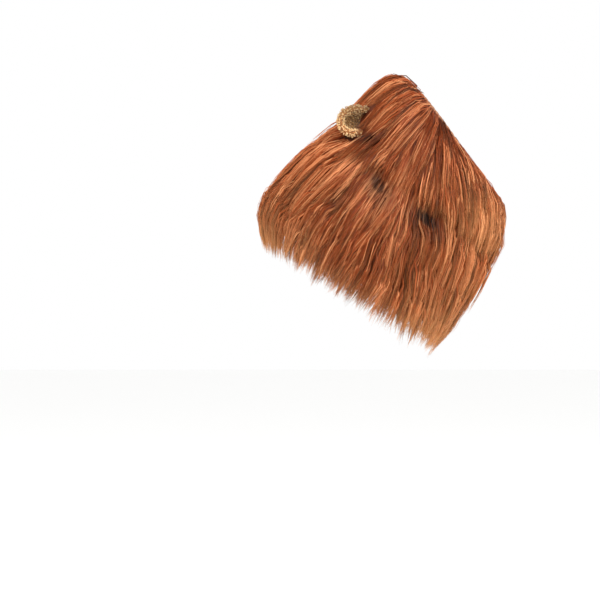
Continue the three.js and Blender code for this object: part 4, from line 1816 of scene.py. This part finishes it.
    def guide_object(self, ears: EarRoom) -> bpy.types.Object:
        """The guides as lines with their attributes, without those that would run through or hide an ear.

        Args:
            ears: the room that the hair leaves for the ears.

        Returns:
            An object of edges, which the lock tree turns into hair.
        """
        stations, angles, depths, leader = self.lay()
        tone = self.rng.beta(self.tone_spread, self.tone_spread, len(stations))
        tone = self.led(tone, leader, self.tone_shares) + self.tone_shift
        points = FORM.fur(stations, angles, depths)
        stride = np.linalg.norm(np.diff(points, axis=1), axis=-1).max(axis=1) * (self.points - 1)
        share = np.array([ears.clear_share(row) for row in points])
        keep = (share > self.least_share) & (stride < self.longest_stride * self.length[1])
        tone, share = tone[keep], share[keep]
        stations, angles, depths = (self.cut(values[keep], share) for values in (stations, angles, depths))
        points = FORM.fur(stations, angles, depths)
        outs = FORM.outwards(stations, angles)
        count = len(points)
        ahead = np.gradient(points, axis=1)
        ahead /= np.linalg.norm(ahead, axis=-1, keepdims=True)
        sides = np.cross(outs, ahead)
        sides /= np.linalg.norm(sides, axis=-1, keepdims=True)
        along = np.tile(np.linspace(0, 1, self.points), (count, 1))
        # The tone takes the patch rows' painted light and shade as well as each lock's own tone
        values = {
            "along": along,
            "tone": tone[:, None] + COMBING.change(points, Change.TONE),
            "breadth": np.tile(self.rng.uniform(*self.breadths, count)[:, None], (1, self.points)),
            # Fade at the tips and the lower edge, painted highlight in front and on some patch rows
            "fade_and_highlight": FadeAndHighlight().shares(points, stations, angles, along),
            "side": sides,
            "out": outs,
        }
        starts = (i * self.points + k for i in range(count) for k in range(self.points - 1))
        mesh = bpy.data.meshes.new(self.name)
        edges = [(start, start + 1) for start in starts]
        mesh.from_pydata([tuple(v) for v in points.reshape(-1, 3)], edges, [])
        for key, data in values.items():
            keep_on_points(mesh, key, data)
        return place_object(self.name, mesh)

    def make(self, tree: Tree, finish: bpy.types.Material, ears: EarRoom) -> bpy.types.Object:
        """Grows the patch's locks and keeps them as one mesh.

        Args:
            tree: the tree that grows them.
            finish: the fur.
            ears: the room that the hair leaves for the ears.

        Returns:
            The patch's piece.
        """
        values = {
            "Strands": self.strands,
            "Lock Width": self.lock_width,
            "Lock Depth": self.lock_depth,
            "Tip Share": self.tip_share,
            "Strand Radius": self.strand_radius,
            "Length Spread": self.length_spread,
            "Frizz": self.frizz,
            "Seed": self.seed,
            "Fur": finish,
        }
        piece = apply_nodes(self.guide_object(ears), tree, values)
        face_out(piece)
        seat(piece, (self.tier.value,))
        return piece


@dataclass
class LionMane:
    """The whole wig, built from its hood outwards."""

    crown_last: float = 3.98
    nape_last: float = 8.15
    flank_last: float = 8.02
    bib_last: float = 8.1
    crown_under: tuple = (0.0, 3.15)
    neck_under: tuple = (3.18, 7.0)

    def hair_fields(self) -> list[HairField]:
        """The patches of hair, crown tier first.

        Returns:
            Eight patches, in the order in which they are made.
        """
        crown = {
            "tier": Tier.CROWN,
            "roots": (0.0, 3.1),
            "last": self.crown_last,
            "length": (0.07, 0.115),
            "feather": 0.8,
        }
        neck = {"tier": Tier.NECK, "roots": (3.3, 6.7), "length": (0.08, 0.13), "points": 4}
        nape = {**neck, "last": self.nape_last}
        flank = {**neck, "last": self.flank_last}
        bib = {**neck, "last": self.bib_last}
        return [
            HairField("crown_hair", angles=(-62, 62), locks=860, seed=21, **crown),
            HairField("cheek_hair_right", angles=(-150, -62), locks=1020, seed=22, **crown),
            HairField("cheek_hair_left", angles=(62, 150), locks=1020, seed=23, **crown),
            HairField("nape_hair", angles=(-58, 58), locks=900, seed=24, **nape),
            HairField("flank_hair_right", angles=(-128, -58), locks=1240, seed=25, **flank),
            HairField("flank_hair_left", angles=(58, 128), locks=1240, seed=26, **flank),
            HairField("throat_hair", angles=(150, 210), locks=330, seed=27, **crown),
            HairField("bib_hair", angles=(128, 232), locks=1120, seed=28, **bib),
        ]

    def make(self) -> None:
        """Builds every piece."""
        knit = WarpKnit().make()
        casing = WarpKnit(name="elastic_casing_knit", dark="#7c4a30", light="#b98a6a", rib=0.0012).make()
        hood = KnitHood()
        hood.make_wall(knit)
        hood.make_casing(casing)
        under = Underfur().make()
        Undercoat(Tier.CROWN, *self.crown_under).make(under)
        Undercoat(Tier.NECK, *self.neck_under).make(under)
        curls = CurlTree().make()
        plush = SherpaPlush().make()
        brown = {"deep": "#3a2412", "middle": "#7a512a", "light": "#b08045"}
        lining = SherpaPlush(name="short_brown_plush", **brown).make()
        for side in Side:
            PlushEar(side).make(curls, plush, lining)
        ears = EarRoom()
        locks = LockTree().make()
        fur = ModacrylicFur().make()
        for patch in self.hair_fields():
            patch.make(locks, fur, ears)


@dataclass
class Studio:
    """A pale floor, soft light and a level camera at the wig's right side."""

    floor_height: float = -0.741
    floor_half: float = 14.0
    floor_colour: str = "#fbfbfa"
    floor_roughness: float = 0.9
    room_colour: str = "#ffffff"
    frame_width: float = 0.930
    centre: tuple[float, float, float] = (-0.15655, 0.0, -0.33015)
    distance: float = 5.0
    sensor: float = 36
    clip_end: float = 50
    light_target: tuple[float, float, float] = (-0.03, 0.0, -0.2)
    # Name, place, size and watts
    lights: tuple = (
        ("key", (1.2, -1.9, 1.8), 1.0, 66.0),
        ("fill", (-1.8, -1.9, 0.6), 1.8, 12.0),
        ("rim", (-0.6, 1.9, 1.5), 1.2, 34.0),
    )

    def make_camera(self) -> None:
        """A long lens level with the wig, looking at the wearer's right side."""
        data = bpy.data.cameras.new("camera")
        data.sensor_width = self.sensor
        data.lens = self.sensor * self.distance / self.frame_width
        data.clip_end = self.clip_end
        camera = place_object("camera", data)
        camera.location = (self.centre[0], -self.distance, self.centre[2])
        camera.rotation_euler = (math.radians(90), 0, 0)
        bpy.context.scene.camera = camera

    def make_light(self, name: str, place: tuple, size: float, watts: float) -> None:
        """One soft square light, turned to the wig.

        Args:
            name: its name.
            place: where it hangs.
            size: its width.
            watts: its power.
        """
        data = bpy.data.lights.new(name, "AREA")
        data.size = size
        data.energy = watts
        light = place_object(name, data)
        light.location = place
        aim = Vector(self.light_target) - Vector(place)
        light.rotation_euler = aim.to_track_quat("-Z", "Y").to_euler()

    def make_floor(self) -> None:
        """A matt pale floor well below the wig."""
        half, height = self.floor_half, self.floor_height
        points = [(-half, -half, height), (half, -half, height), (half, half, height), (-half, half, height)]
        floor = mesh_object("floor", np.array(points), [(0, 1, 2, 3)])
        material, _, shader = new_material("matt_paper_floor")
        shader.inputs["Base Color"].default_value = linear(self.floor_colour)
        shader.inputs["Roughness"].default_value = self.floor_roughness
        floor.data.materials.append(material)

    def make(self) -> None:
        """Camera, floor, lights and a pale world."""
        self.make_camera()
        self.make_floor()
        for light in self.lights:
            self.make_light(*light)
        world = bpy.data.worlds.new("pale_room")
        world.use_nodes = True
        air = world.node_tree.nodes["Background"]
        air.inputs["Color"].default_value = linear(self.room_colour)
        air.inputs["Strength"].default_value = 1.0
        bpy.context.scene.world = world
        bpy.context.scene.view_settings.view_transform = "Standard"


def main() -> None:
    """Builds the studio and the wig."""
    logging.basicConfig(level=logging.INFO, format="%(message)s")
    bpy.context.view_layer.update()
    Studio().make()
    LionMane().make()
    bpy.context.view_layer.update()


if __name__ == "__main__":
    main()
